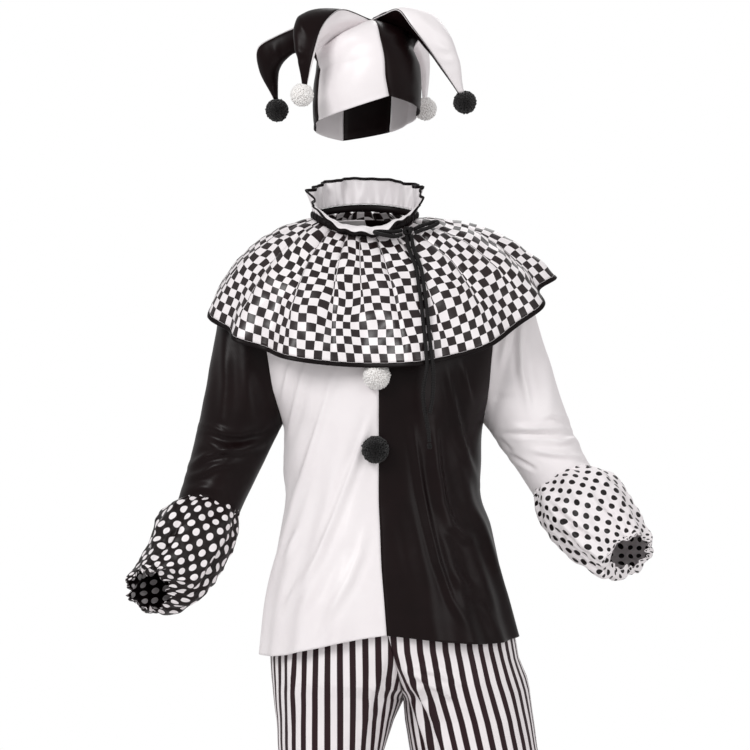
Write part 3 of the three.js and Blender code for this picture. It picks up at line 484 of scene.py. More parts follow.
def satin(name, ground, ground_shade, roughness, sheen, figure=None, figure_shade=None, pattern=None,
          shine=0.5):
    """Satin of one colour, or printed: the pattern gives a node output that is 1 where the figure lies."""
    material, tree, shader = new_material(name, roughness, sheen, 0.35, shine)
    cloth = add(tree, "ShaderNodeUVMap", {"uv_map": "cloth"}).outputs["UV"]
    where = add(tree, "ShaderNodeTexCoord").outputs["Object"]
    clouds = add(tree, "ShaderNodeTexNoise", links={"Vector": where}, values={"Scale": 14, "Detail": 3})
    colour = two_tone(tree, clouds.outputs["Fac"], ground, ground_shade)
    if pattern:
        printed = two_tone(tree, clouds.outputs["Fac"], figure, figure_shade)
        both = add(tree, "ShaderNodeMix", {"data_type": "RGBA"},
                   {"Factor": pattern(tree, cloth), "A": colour, "B": printed})
        colour = both.outputs["Result"]
    tree.links.new(colour, shader.inputs["Base Color"])
    warp = add(tree, "ShaderNodeTexWave", {"bands_direction": "X"}, {"Vector": cloth},
               {"Scale": WAVE_LENGTH / (THREAD_PITCH * MM), "Distortion": 0.8, "Detail": 1})
    weft = add(tree, "ShaderNodeTexWave", {"bands_direction": "Y"}, {"Vector": cloth},
               {"Scale": WAVE_LENGTH / (3 * THREAD_PITCH * MM), "Distortion": 1.5, "Detail": 1})
    threads = add(tree, "ShaderNodeMath", {"operation": "ADD"})
    tree.links.new(warp.outputs["Color"], threads.inputs[0])
    tree.links.new(weft.outputs["Color"], threads.inputs[1])
    woven = add(tree, "ShaderNodeBump", links={"Height": threads.outputs["Value"]},
                values={"Strength": 0.25, "Distance": 0.05 * MM})
    rumple = add(tree, "ShaderNodeTexNoise", links={"Vector": where}, values={"Scale": 26, "Detail": 2})
    rumpled = add(tree, "ShaderNodeBump", values={"Strength": 0.35, "Distance": 2.2 * MM},
                  links={"Height": rumple.outputs["Fac"], "Normal": woven.outputs["Normal"]})
    tree.links.new(rumpled.outputs["Normal"], shader.inputs["Normal"])
    shader.inputs["Sheen Tint"].default_value = linear("#d9c9c6")
    return material


PLAIN_SATIN = {
    "white": satin("white polyester satin", WHITE, WHITE_SHADE, 0.42, 0.1),
    "black": satin("black polyester satin", BLACK, BLACK_SHEEN, 0.36, 0, shine=0.15),
}
for place, shade, centre, side in (
        ("front", "white", FRONT, LEFT), ("front", "black", FRONT, RIGHT + math.tau),
        ("back", "white", BACK, LEFT), ("back", "black", BACK, RIGHT)):
    panel = cloth_piece(f"tunic_cloth_{place}_{shade}", tunic_panel(centre, side), PLAIN_SATIN[shade],
                        shade + "_cloth", f"tunic_{place}_{shade}")


# Sleeves: straight set-in sleeves of the same satin, the black one at the viewer's left. Each hangs in long
# soft folds to the elbow, where it breaks into short creases across the arm.
RING_NAMES = "xOuter zOuter xInner zInner y depth"
LEFT_SLEEVE = columns(RING_NAMES, [
    (-170, -46, -135, -304, 0, 70),
    (-216, -92, -141, -314, -2, 57),
    (-238, -172, -150, -334, -4, 57),
    (-252, -255, -161, -356, -6, 56),
    (-268, -330, -174, -383, -10, 54),
    (-281, -380, -187, -410, -14, 50),
    (-294, -423, -201, -441, -18, 47),
])
RIGHT_SLEEVE = columns(RING_NAMES, [
    (190, -42, 168, -302, 0, 70),
    (233, -98, 176, -312, -2, 57),
    (252, -160, 186, -326, -4, 57),
    (279, -243, 200, -346, -6, 56),
    (301, -308, 216, -368, -10, 54),
    (318, -345, 230, -390, -14, 50),
    (333, -372, 246, -415, -18, 47),
])
LEFT_SLEEVE_CREASES = [
    ([(-221, -140), (-221, -243), (-225, -312)], 8, 2.6),
    ([(-190, -200), (-186, -260), (-178, -310)], 9, 1.6),
    ([(-256, -317), (-227, -326), (-193, -328), (-162, -318), (-146, -304)], 5, -3.4),
    ([(-252, -329), (-237, -338), (-220, -342), (-193, -340), (-160, -332)], 5.5, 4),
    ([(-276, -368), (-250, -351), (-218, -344), (-185, -348)], 4.5, 3),
    ([(-280, -385), (-256, -378), (-238, -367), (-210, -362)], 5, 2.4),
    ([(-262, -306), (-240, -308), (-214, -318)], 4, 2.2),
    ([(-285, -404), (-258, -398), (-230, -402)], 6, 1.6),
]
RIGHT_SLEEVE_CREASES = [
    ([(225, -130), (223, -184), (225, -224), (233, -259), (237, -290)], 5, 3.4),
    ([(205, -160), (199, -185), (192, -215)], 5, 2.6),
    ([(258, -190), (266, -240), (272, -285)], 8, 2),
    ([(206, -306), (238, -310), (288, -309)], 4, 3),
    ([(190, -317), (219, -319), (258, -318), (302, -318)], 3.4, -3.6),
    ([(262, -327), (286, -330), (304, -326), (316, -338)], 3.6, 2.6),
    ([(240, -342), (267, -347), (292, -350), (316, -355)], 4.2, 3.6),
    ([(206, -349), (225, -360), (246, -372)], 3, -3.2),
    ([(190, -325), (211, -345)], 3, -2.6),
    ([(256, -301), (273, -295), (288, -300), (298, -309)], 3.6, -2.4),
    ([(294, -361), (316, -367), (330, -372)], 4, 2),
    ([(172, -262), (200, -264), (220, -262)], 5, -1.4),
]


def arm_ring(table, position):
    """The ring of a sleeve stands across the arm: its front is turned the way that the arm runs."""
    def middle_of(r):
        return Vector(((r["xOuter"] + r["xInner"]) / 2, r["y"], (r["zOuter"] + r["zInner"]) / 2))
    ring = read_table(table, position)
    middle = middle_of(ring)
    before = read_table(table, position - ring.get("lag", 0.5))
    along = (middle_of(read_table(table, position + 0.5)) - middle_of(before)).normalized()
    wide = Vector((ring["xOuter"] - ring["xInner"], 0, ring["zOuter"] - ring["zInner"])) / 2
    deep = along.cross(wide).normalized()
    deep *= ring["depth"] * (-1 if deep.y > 0 else 1)
    return lambda u, out=1: middle + (wide * math.cos(math.tau * u) + deep * math.sin(math.tau * u)) * out


def armhole_point(side, u):
    """The armhole runs from the shoulder down the front edge and up the back edge."""
    front = u <= 0.5
    step = 2 * u if front else 2 - 2 * u
    row = SHOULDER_ROW + (UNDERARM_ROW - SHOULDER_ROW) * step
    towards_front = 1 if side == LEFT else -1
    turn = side + (towards_front if front else -towards_front) * armhole_opening(row)
    return torso_row(row)(turn % math.tau if side == RIGHT else turn)


def sleeve(table, side, creases):
    last = len(table) - 1

    def row_at(v):
        position = v * last
        ring = arm_ring(table, position)
        share = min(1, position)
        if share == 1:
            return ring
        return lambda u: armhole_point(side, u).lerp(ring(u), share)

    def lift(spot, u, v):
        behind = 0.6 if spot.y > 0 else 1
        return (crease_height(creases, spot.x, spot.z) * behind + soft_bumps(spot, 38, 1)) * min(1, 6 * v)
    return sewn_sheet(96, 96, row_at, arm_ring(table, 3)(0.25, 0), closed=True, raised=lift,
                      cloth_at=lambda u, v, face: (u * 420, v * 330))


for shade, table, side, creases in (("black", LEFT_SLEEVE, LEFT, LEFT_SLEEVE_CREASES),
                                    ("white", RIGHT_SLEEVE, RIGHT, RIGHT_SLEEVE_CREASES)):
    piece = cloth_piece("sleeve_cloth_" + shade, sleeve(table, side, creases), PLAIN_SATIN[shade],
                        shade + "_cloth", "sleeve_" + shade)


# Cuffs: puffs of dotted satin, gathered into the sleeve's end and again on elastic at the wrist, white dots
# on black at the viewer's left and black dots on white at the right.
CUFF_NAMES = RING_NAMES + " gather"
LEFT_CUFF = columns(CUFF_NAMES, [
    (-294, -423, -201, -441, -18, 47, 0),
    (-317, -437, -204, -461, -27, 58, 3.5),
    (-331, -470, -209, -486, -40, 64, 2),
    (-341, -497, -225, -519, -56, 62, 2),
    (-353, -518, -245, -548, -72, 58, 2.5),
    (-364, -534, -272, -570, -88, 50, 4),
    (-365, -541, -305, -565, -98, 31, 3),
])
RIGHT_CUFF = columns(CUFF_NAMES + " lag", [
    (333, -372, 246, -415, -18, 47, 0, 0.5),
    (361, -380, 250, -436, -28, 58, 3.5, 0.5),
    (381, -404, 261, -461, -42, 64, 2, 0.5),
    (397, -432, 284, -489, -60, 62, 2, 0.5),
    (410, -458, 316, -514, -78, 57, 2.5, 1),
    (417, -475, 349, -531, -94, 47, 4, 2),
    (414, -482, 355, -506, -104, 31, 3, 2.5),
])
BROAD_GATHERS, FINE_GATHERS = 8, 23
GATHER_START = 16              # where round the cuff the uneven gathers begin, in radians
CUFF_CLOTH = {"black": (400, 176), "white": (440, 212)}   # the cloth of each puff, laid flat
DOT_PITCH = 17


def dots(size):
    """Round dots of a size, in rows that are staggered, so the lattice stands on its corner."""
    def pattern(tree, cloth):
        lattice = add(tree, "ShaderNodeMapping", links={"Vector": cloth}, values={
            "Rotation": (0, 0, math.pi / 4), "Scale": (1 / (DOT_PITCH * MM),) * 3})
        cell = add(tree, "ShaderNodeVectorMath", {"operation": "FRACTION"}, {0: lattice.outputs["Vector"]})
        centred = add(tree, "ShaderNodeVectorMath", {"operation": "SUBTRACT"}, {0: cell.outputs["Vector"]},
                      {1: (0.5, 0.5, 0)})
        away = add(tree, "ShaderNodeVectorMath", {"operation": "LENGTH"}, {0: centred.outputs["Vector"]})
        edge = size / DOT_PITCH / 2
        disc = add(tree, "ShaderNodeMapRange", links={"Value": away.outputs["Value"]}, values={
            "From Min": edge - 0.015, "From Max": edge + 0.015, "To Min": 1, "To Max": 0})
        return disc.outputs["Result"]
    return pattern


def cuff(table, creases, cloth):
    last = len(table) - 1

    def row_at(v):
        ring = arm_ring(table, v * last)
        row = read_table(table, v * last)
        end = math.exp(-v / 0.16) * 1.9 + math.exp(-(1 - v) / 0.22) * 3.2

        def place(u):
            turn = math.tau * u
            drift = 1.6 * math.sin(3 * turn + GATHER_START) + 0.9 * math.sin(7 * turn)
            fine = math.cos(FINE_GATHERS * turn + drift)
            uneven = 0.7 + 0.5 * math.sin(4 * turn + GATHER_START)
            lift = row["gather"] * math.cos(BROAD_GATHERS * turn) + end * fine * uneven
            return ring(u, 1 + lift / row["depth"])
        return place

    def lift(spot, u, v):
        middle = math.sin(math.pi * v)
        return (crease_height(creases, spot.x, spot.z) + soft_bumps(spot, 14, 3.6)) * middle
    return sewn_sheet(300, 60, row_at, arm_ring(table, 3)(0.25, 0), closed=True, raised=lift,
                      cloth_at=lambda u, v, face: (u * cloth[0], v * cloth[1]))


LEFT_CUFF_CREASES = [
    ([(-281, -437), (-293, -460), (-318, -497), (-342, -520)], 4, -4),
    ([(-306, -440), (-320, -462), (-330, -492)], 4.5, 3.6),
    ([(-210, -470), (-228, -500), (-262, -548)], 4, -3),
]
RIGHT_CUFF_CREASES = [
    ([(262, -417), (284, -440), (312, -464), (338, -482)], 3.6, -4),
    ([(322, -404), (340, -430), (366, -452)], 4, 2.6),
    ([(286, -452), (310, -480), (348, -508)], 4, 3),
]
DOTTED = {
    "black": satin("black satin with white dots", BLACK, BLACK_SHEEN, 0.42, 0.03, WHITE, WHITE_SHADE,
                   dots(10.8), shine=0.25),
    "white": satin("white satin with black dots", WHITE, WHITE_SHADE, 0.45, 0.1, "#0d0809", "#1a1213",
                   dots(9.6), shine=0.3),
}
for shade, table, creases in (("black", LEFT_CUFF, LEFT_CUFF_CREASES),
                              ("white", RIGHT_CUFF, RIGHT_CUFF_CREASES)):
    cloth = CUFF_CLOTH[shade]
    piece = cloth_piece("cuff_cloth_" + shade, cuff(table, creases, cloth), DOTTED[shade],
                        shade + "_dotted_cloth", f"cuff_{shade}_dots", wall=0.9)


# Trousers: two legs of striped polyester, each a front and a back sewn at the side and the inside, joined at
# the seat seam, with an elastic waistband that the tunic hides. The stripes run down the cloth.
TROUSER_SEAT = columns("z zSeam xOutLeft xMidLeft xOutRight xMidRight xSeam yFront yBack spread", [
    (-486, -486, -116, 16, 160, 16, 16, -98, 98, 90),
    (-552, -552, -138, 17, 186, 17, 17, -122, 120, 90),
    (-612, -612, -152, 22, 213.4, 22, 22, -138, 135.5, 90),
    (-655, -662, -154, -6, 222, 58, 36, -131, 129, 116),
    (-684, -704, -152, -34, 234, 94, 45, -126, 126, 148),
    (-702, -722, -150, -50, 238, 120, 47, -118, 120, 180),
])
TROUSER_LEGS = columns("z xOutLeft xInLeft xOutRight xInRight yFront yBack", [
    (-750, -145, 33, 244, 50, -108, 112),
    (-805, -141, 15, 251, 59, -101, 104),
    (-910, -137, -4, 262, 88, -92, 94),
    (-1060, -131, -20, 280, 136, -80, 82),
    (-1230, -127, -32, 292, 170, -62, 76),
    (-1400, -126, -36, 300, 198, -52, 70),
])
TROUSER_ROUNDING = 0.9
STRIPE_PITCH, STRIPE_WIDTH = 19.3, 9.4
STRIPES_BEFORE = 40.25         # keeps the count above zero, and sets a stripe a quarter off the pressed line
LEG_ROWS = len(TROUSER_SEAT) + len(TROUSER_LEGS) - 1
LEG_AROUND, LEG_ALONG = 96, 176

LEFT_LEG_CREASES = [
    ([(20, -640), (10, -680), (-4, -720), (-14, -780)], 6, 3),
    ([(38, -668), (24, -700), (6, -744)], 4, 2.4),
    ([(-128, -640), (-118, -700), (-124, -760)], 6, 1.8),
    ([(-70, -1020), (-90, -1060), (-120, -1090)], 12, 5),
    ([(-30, -1080), (-60, -1120), (-100, -1150)], 11, 4.5),
    ([(-120, -1180), (-80, -1210), (-40, -1215)], 12, 4),
    ([(-60, -1290), (-90, -1330), (-120, -1345)], 12, 5),
]
RIGHT_LEG_CREASES = [
    ([(42, -664), (64, -696), (88, -734), (110, -792), (124, -850)], 4.6, 5),
    ([(46, -668), (86, -690), (126, -716), (160, -746)], 4.2, 3.6),
    ([(62, -664), (100, -676), (138, -694)], 4.6, 3),
    ([(48, -690), (66, -730), (84, -780), (100, -840)], 4, 3.4),
    ([(150, -628), (160, -700), (176, -780)], 9, 1.8),
    ([(180, -1010), (210, -1040), (260, -1060)], 12, 5),
    ([(150, -1060), (190, -1100), (240, -1130)], 11, 4.5),
    ([(280, -1180), (240, -1210), (190, -1220)], 12, 4),
    ([(210, -1300), (250, -1340), (290, -1350)], 12, 5),
]


def leg_value(left, position, key):
    """Reads one column through the seat's rows and on through the leg's, in straight steps."""
    row = min(int(position), LEG_ROWS - 1)
    ends = []
    for i in (row, row + 1):
        seat = i < len(TROUSER_SEAT)
        ring = TROUSER_SEAT[i] if seat else TROUSER_LEGS[i - len(TROUSER_SEAT)]
        side = "Left" if left else "Right"
        x_out = ring["xOut" + side]
        x_in = None if seat else ring["xIn" + side]
        ends.append({
            "z": ring["z"], "xOut": x_out, "yFront": ring["yFront"], "yBack": ring["yBack"],
            "xMiddle": ring["xMid" + side] if seat else (x_out + x_in) / 2,
            "xSeam": ring["xSeam"] if seat else x_in,
            "zSeam": ring["zSeam"] if seat else ring["z"],
            "spread": ring["spread"] if seat else 180,
        }[key])
    share = position - row
    return ends[0] + (ends[1] - ends[0]) * share


def leg_row(left, position):
    value = {key: leg_value(left, position, key)
             for key in ("z", "xOut", "yFront", "yBack", "xMiddle", "xSeam", "zSeam", "spread")}
    spread = math.radians(value["spread"])

    def place(u):
        turn = spread * (2 * u - 1)
        beyond = max(0, -math.cos(turn))
        reach = (beyond / max(-math.cos(spread), 0.001)) ** TROUSER_ROUNDING if beyond > 1e-6 else 0
        outward = max(0, math.cos(turn)) ** TROUSER_ROUNDING
        deep = (value["yFront"] if turn < 0 else value["yBack"]) * abs(math.sin(turn)) ** TROUSER_ROUNDING
        x = value["xMiddle"] + (value["xOut"] - value["xMiddle"]) * outward
        x += (value["xSeam"] - value["xMiddle"]) * min(reach, 1)
        return Vector((x, deep, value["z"] + (value["zSeam"] - value["z"]) * abs(turn) / spread))
    return place


PRESSED = {                    # the line that each leg's stripes follow, as pairs of z and x
    "left": [(-486, -62), (-800, -62), (-1400, -80)],
    "right": [(-486, 110), (-640, 124), (-800, 160), (-1400, 249)],
}


def along_line(pairs, z):
    for (z_high, x_high), (z_low, x_low) in zip(pairs, pairs[1:]):
        if z > z_low or z_low == pairs[-1][0]:
            break
    return x_high + (x_low - x_high) * (z_high - z) / (z_high - z_low)


def leg_lengths(left):
    """For each row, how far each point lies from the straight pressed line down the leg's front or back."""
    half = LEG_AROUND // 2
    rows = []
    for row in range(LEG_ALONG + 1):
        place = leg_row(left, row / LEG_ALONG * LEG_ROWS)
        spots = [place(i / LEG_AROUND) for i in range(LEG_AROUND + 1)]
        middle = along_line(PRESSED["left" if left else "right"], spots[half].z)
        passed = [0]
        for a, b in zip(spots, spots[1:]):
            passed.append(passed[-1] + (b - a).length)

        def pressed(columns_of):
            for i in columns_of:
                share = (middle - spots[i].x) / ((spots[i + 1].x - spots[i].x) or 1)
                if 0 <= share <= 1:
                    return passed[i] + share * (passed[i + 1] - passed[i])
            return passed[columns_of[len(columns_of) // 2]]
        front, back = pressed(range(half)), pressed(range(half, LEG_AROUND))
        rows.append([length - (front if i <= half else back) for i, length in enumerate(passed)])
        rows[-1].append(passed[half] - back)
    return rows


def leg(left, creases):
    lengths = leg_lengths(left)
    tops = [0]
    for row in range(LEG_ALONG):
        low, high = (leg_value(left, i / LEG_ALONG * LEG_ROWS, "z") for i in (row, row + 1))
        tops.append(tops[-1] + low - high)

    def cloth_at(u, v, face):
        row, column = round(v * LEG_ALONG), round(u * LEG_AROUND)
        on_back = face.calc_center_median().y > 0
        beside = column == LEG_AROUND // 2 and on_back
        across = lengths[row][-1] if beside else lengths[row][column]
        return across + STRIPE_PITCH * STRIPES_BEFORE, tops[row]

    def lift(spot, u, v):
        behind = 0.5 if spot.y > 0 else 1
        settle = max(0, (v - 0.55) / 0.45)
        rolls = 3.2 * settle * noise.noise(Vector((spot.x / 70, spot.y / 70, spot.z / 32)))
        above_crotch = v * LEG_ROWS < len(TROUSER_SEAT) - 1
        at_seam = min(1, min(u, 1 - u) * LEG_AROUND / 6) if above_crotch else 1
        return (crease_height(creases, spot.x, spot.z) * behind + soft_bumps(spot, 46, 1.2) + rolls) * at_seam
    return sewn_sheet(LEG_AROUND, LEG_ALONG, lambda v: leg_row(left, v * LEG_ROWS),
                      (-60 if left else 130, 0, -800), closed=True, raised=lift, cloth_at=cloth_at)


def stripes(tree, cloth):
    """Dark stripes that run down the cloth."""
    across = add(tree, "ShaderNodeSeparateXYZ", links={"Vector": cloth})
    count = add(tree, "ShaderNodeMath", {"operation": "DIVIDE"}, {0: across.outputs["X"]},
                {1: STRIPE_PITCH * MM})
    share = add(tree, "ShaderNodeMath", {"operation": "FRACT"}, {0: count.outputs["Value"]})
    away = add(tree, "ShaderNodeMath", {"operation": "SUBTRACT"}, {0: share.outputs["Value"]}, {1: 0.5})
    size = add(tree, "ShaderNodeMath", {"operation": "ABSOLUTE"}, {0: away.outputs["Value"]})
    edge = STRIPE_WIDTH / STRIPE_PITCH / 2
    dark = add(tree, "ShaderNodeMapRange", links={"Value": size.outputs["Value"]}, values={
        "From Min": edge - 0.02, "From Max": edge + 0.02, "To Min": 1, "To Max": 0})
    return dark.outputs["Result"]


# The trouser cloth is duller than the tunic's: a plain woven polyester, its dark stripes a deep aubergine.
striped = satin("striped polyester", WHITE, WHITE_SHADE, 0.58, 0.08, "#1d0a0f", "#2b1218", stripes,
                shine=0.25)
for side, creases in (("left", LEFT_LEG_CREASES), ("right", RIGHT_LEG_CREASES)):
    piece = cloth_piece("trouser_cloth_" + side, leg(side == "left", creases), striped, "striped_cloth",
                        "trouser_leg_" + side)

# The waistband: a casing round 30 mm elastic, gathered evenly.
WAISTBAND_HEIGHT = 26
WAIST_GATHERS = 64


def waistband_row(v):
    def place(u):
        left = u <= 0.5
        spot = leg_row(left, 0)(2 * u if left else 2 - 2 * u)
        spot.z += WAISTBAND_HEIGHT * v
        out = Vector((spot.x - 16, spot.y, 0)).normalized()
        return spot + out * (1.4 * math.sin(math.pi * v) * math.cos(WAIST_GATHERS * math.tau * u))
    return place


band = sewn_sheet(384, 10, waistband_row, (16, 0, -470), closed=True,
                  cloth_at=lambda u, v, face: (u * 1100, v * 40))
piece = cloth_piece("trouser_waistband_cloth", band, striped, "striped_cloth", "trouser_waistband")


# Capelet: one long strip of satin printed in small checks, gathered into the neck casing and bound in black
# at the hem. It falls over the shoulders in uneven pleats, which hide a part of each row of checks.
NECK = {"xMiddle": -11, "halfWidth": 79, "yFront": -64, "yBack": 70, "zSide": 12.5, "zFront": -16,
        "zBack": 24}
NECK_ROUNDING = 0.9
HEM = {"xLeft": -246, "xRight": 263, "xMiddle": 8, "yFront": -168, "yBack": 176}
HEM_HEIGHTS = {"left": -118, "right": -78, "front": -212, "back": -206}
SWELL = {"side": 26, "front": 15, "back": 24.6}
HEM_WAVES, HEM_WAVE_DEPTH = 13, 9
CASING_HALF_HEIGHT, CASING_HALF_DEPTH = 5.5, 2
SEAM_GAP = 0.36
CAPELET_AROUND, CAPELET_ALONG = 560, 54
CAPELET_LENGTH = 216
PULLS_AROUND, PULLS_ALONG = 4.5, 4
PULL_ACROSS, PULL_ALONG = 9, 8    # how strongly the print is drawn askew
SECOND_FIELD = Vector((31.4, 17.2, 9.7))
PLEAT_LEAN = 0.15              # how far a pleat turns on its way to the hem, in radians
CHECKS_AROUND = 124            # an even count, so the print meets at the seam
PLEATS = columns("angle reach width depth", [
    (8, 1.1, 1.3, 4.6), (27, 0.7, 1.2, 4), (45, 1.3, 1.3, 5), (63, 0.8, 1.2, 4), (83, 1.4, 1.3, 5),
    (102, 0.7, 1.2, 4), (122, 1.2, 1.3, 5), (141, 0.8, 1.2, 4), (159, 1.1, 1.3, 4.6), (176, 0.7, 1.2, 4),
    (191, 0.9, 1.2, 4.2), (209, 1.1, 1.3, 4.5), (231, 1.3, 1.3, 5), (251.6, 1.6, 1.3, 5.5),
    (266, 0.5, 1, 3.2), (280.4, 1.5, 1.3, 5.5), (299, 0.6, 1.1, 3.6), (319.8, 1.6, 1.3, 5.5),
    (337, 1.2, 1.3, 5), (352, 0.8, 1.2, 4),
])


def neck_point(angle):
    side, face = math.cos(angle), math.sin(angle)
    z_face, y_face = (NECK["zBack"], NECK["yBack"]) if face > 0 else (NECK["zFront"], NECK["yFront"])
    x = NECK["xMiddle"] + NECK["halfWidth"] * math.copysign(abs(side) ** NECK_ROUNDING, side)
    z = NECK["zSide"] + (z_face - NECK["zSide"]) * face * face
    return Vector((x, y_face * abs(face) ** NECK_ROUNDING, z))


def hem_point(angle):
    side, face = math.cos(angle), math.sin(angle)
    reach = HEM["xRight" if side > 0 else "xLeft"] - HEM["xMiddle"]
    y_face = HEM["yBack" if face > 0 else "yFront"]
    z_face = HEM_HEIGHTS["back" if face > 0 else "front"]
    z_side = HEM_HEIGHTS["right" if side > 0 else "left"]
    x = HEM["xMiddle"] + reach * abs(side) ** NECK_ROUNDING
    return Vector((x, y_face * abs(face) ** NECK_ROUNDING, z_side + (z_face - z_side) * abs(face) ** 1.1))


def hem_wave(angle):
    turn = HEM_WAVES * angle + 0.9 * math.sin(2 * angle) + 0.7 * math.sin(5 * angle)
    return (1 + 0.4 * math.sin(3 * angle + 1)) * math.cos(turn)


def capelet_point(angle, along):
    top = neck_point(angle) - Vector((0, 0, CASING_HALF_HEIGHT + SEAM_GAP))
    outward = Vector((math.cos(angle), math.sin(angle), 0))
    down = hem_point(angle) - top
    across = down.cross(Vector((-math.sin(angle), math.cos(angle), 0))).normalized()
    across *= -1 if across.z < 0 else 1
    face = math.sin(angle) ** 2
    swell = SWELL["side"] + (SWELL["back" if math.sin(angle) > 0 else "front"] - SWELL["side"]) * face
    wave = HEM_WAVE_DEPTH * max(0, (along - 0.15) / 0.85) ** 1.3 * hem_wave(angle)
    return top + down * along + across * (swell * 4 * along * (1 - along)) + outward * wave


def hung_point(angle, along):
    """The pleats hang straighter than the cloth spreads, so in front and behind they lean to the middle."""
    return capelet_point(angle + PLEAT_LEAN * along * math.sin(2 * angle), along)


def pleat_depth(angle, along):
    """Pleats are sharp valleys at the neck that widen and die out on the way down."""
    depth = 0
    for pleat in PLEATS:
        away = (math.degrees(angle) - pleat["angle"] + 540) % 360 - 180
        away /= pleat["width"] * (1 + 0.5 * along)
        if abs(away) < 4:
            depth += pleat["depth"] * max(0, 1 - along / pleat["reach"]) ** 0.8 * math.exp(-1.3 * abs(away))
    return depth


def rows_of_checks():
    """Where each point lies along its row on the flat cloth. Between two pleats the cloth shows at its true
    width, and at the bottom of each pleat it passes out of sight."""
    def passed_at(along):
        spots = [hung_point(math.tau * i / CAPELET_AROUND, along) for i in range(CAPELET_AROUND + 1)]
        total = [0]
        for a, b in zip(spots, spots[1:]):
            total.append(total[-1] + (b - a).length)
        return total

    def read(total, degrees):
        turns, left = divmod(degrees, 360)
        place = left / 360 * CAPELET_AROUND
        i = min(int(place), CAPELET_AROUND - 1)
        return turns * total[-1] + total[i] + (total[i + 1] - total[i]) * (place - i)

    hem = passed_at(1)
    valleys = [PLEATS[-1]["angle"] - 360, *(pleat["angle"] for pleat in PLEATS), PLEATS[0]["angle"] + 360]
    rows = []
    for row in range(CAPELET_ALONG + 1):
        here = passed_at(row / CAPELET_ALONG)
        line = []
        for column in range(CAPELET_AROUND + 1):
            degrees = 360 * column / CAPELET_AROUND
            k = max(i for i in range(len(valleys) - 1) if valleys[i] <= degrees)
            middle = (valleys[k] + valleys[k + 1]) / 2
            line.append(read(hem, middle) + read(here, degrees) - read(here, middle))
        rows.append(line)
    return rows, hem[-1]


def check_place(u, v, face):
    """The place on the flat cloth, drawn askew by a few millimetres as small folds pull at the print."""
    turn = math.tau * u
    spot = Vector((PULLS_AROUND * math.cos(turn), PULLS_AROUND * math.sin(turn), PULLS_ALONG * v))
    across = check_rows[round(v * CAPELET_ALONG)][round(u * CAPELET_AROUND)]
    free = min(1, 3 * (1 - v))
    pull_along = PULL_ALONG * noise.noise(spot + SECOND_FIELD)
    return across + PULL_ACROSS * noise.noise(spot) * free, v * CAPELET_LENGTH + pull_along * free


def capelet_lift(spot, u, v):
    free = min(1, 14 * v, 9 * (1 - v))
    return (1.5 - pleat_depth(math.tau * u, v)) * min(1, 9 * (1 - v)) + soft_bumps(spot, 26, 3.2) * free


def checks(tree, cloth):
    squares = add(tree, "ShaderNodeTexChecker", links={"Vector": cloth}, values={
        "Scale": 1 / (check_size * MM), "Color1": (1, 1, 1, 1), "Color2": (0, 0, 0, 1)})
    return squares.outputs["Fac"]


check_rows, hem_length = rows_of_checks()
check_size = hem_length / CHECKS_AROUND
checked = satin("checked polyester satin", WHITE, WHITE_SHADE, 0.34, 0.1, "#0f0607", "#2a1d1e", checks,
                shine=0.45)
capelet = sewn_sheet(
    CAPELET_AROUND, CAPELET_ALONG, lambda v: lambda u: hung_point(math.tau * u, v), (0, 0, -300), closed=True,
    raised=capelet_lift, cloth_at=check_place)
capelet_cloth = cloth_piece("capelet_cloth", capelet, checked, "checked_cloth", "capelet", wall=0.9)


# Bindings: black bias strips folded over the hem of the capelet and over the edge of the frill.
binding_satin = satin("black bias binding", "#080304", "#120a0b", 0.45, 0, shine=0.12)


def binding_piece(name, bm, node):
    bmesh.ops.recalc_face_normals(bm, faces=bm.faces)
    return placed(finish_mesh(name, bm, binding_satin), "black_binding", node)


def binding(name, edge_at, count, width, thickness, node):
    """A rounded strip over an edge. edge_at gives the edge, the way onward from the cloth and the way out."""
    def row_at(v):
        edge, onward, outward = edge_at(v)
        middle = edge + onward * (width / 2) - outward * (CLOTH_WALL / 2)

        def place(u):
            turn = math.tau * u
            far = math.copysign(abs(math.cos(turn)) ** 0.6, math.cos(turn)) * width / 2
            out = math.copysign(abs(math.sin(turn)) ** 0.6, math.sin(turn)) * thickness / 2
            return middle + onward * far + outward * out
        return place
    bm = sewn_sheet(10, count, row_at, (0, 0, 0), closed=True, cloth_at=lambda u, v, face: (u * 15, v * 1400))
    return binding_piece(name, bm, node)


def edge_frame(point_at, step=0.004):
    """Gives the edge of a ring of cloth at a share of its round, with the ways onward and out."""
    def edge_at(u):
        angle = math.tau * u
        edge = point_at(angle, 1)
        onward = (edge - point_at(angle, 0.96)).normalized()
        tangent = point_at(angle + math.tau * step, 1) - point_at(angle - math.tau * step, 1)
        outward = tangent.cross(onward).normalized()
        if outward.dot(Vector((math.cos(angle), math.sin(angle), 0.4))) < 0:
            outward.negate()
        return edge, onward, outward
    return edge_at


hem_binding = binding("capelet_hem_strip", edge_frame(capelet_point), 448, 6.6, 2.8, "capelet_hem_binding")

# Neck casing: a narrow black band, puckered where the drawstring draws it in.
CASING_PUCKERS = 46


def casing_row(v):
    turn = math.tau * v

    def place(u):
        angle = math.tau * u
        pucker = 0.7 * math.cos(CASING_PUCKERS * angle + 2 * math.sin(3 * angle))
        out = CASING_HALF_DEPTH * 1.25 * math.cos(turn) + pucker * max(0, math.cos(turn))
        up = CASING_HALF_HEIGHT * math.copysign(abs(math.sin(turn)) ** 0.7, math.sin(turn))
        return neck_point(angle) + Vector((out * math.cos(angle), out * math.sin(angle), up))
    return place


bm = sewn_sheet(368, 14, casing_row, (0, 0, 0), closed=True, cloth_at=lambda u, v, face: (u * 460, v * 30))
binding_piece("neck_casing_band", bm, "neck_casing")

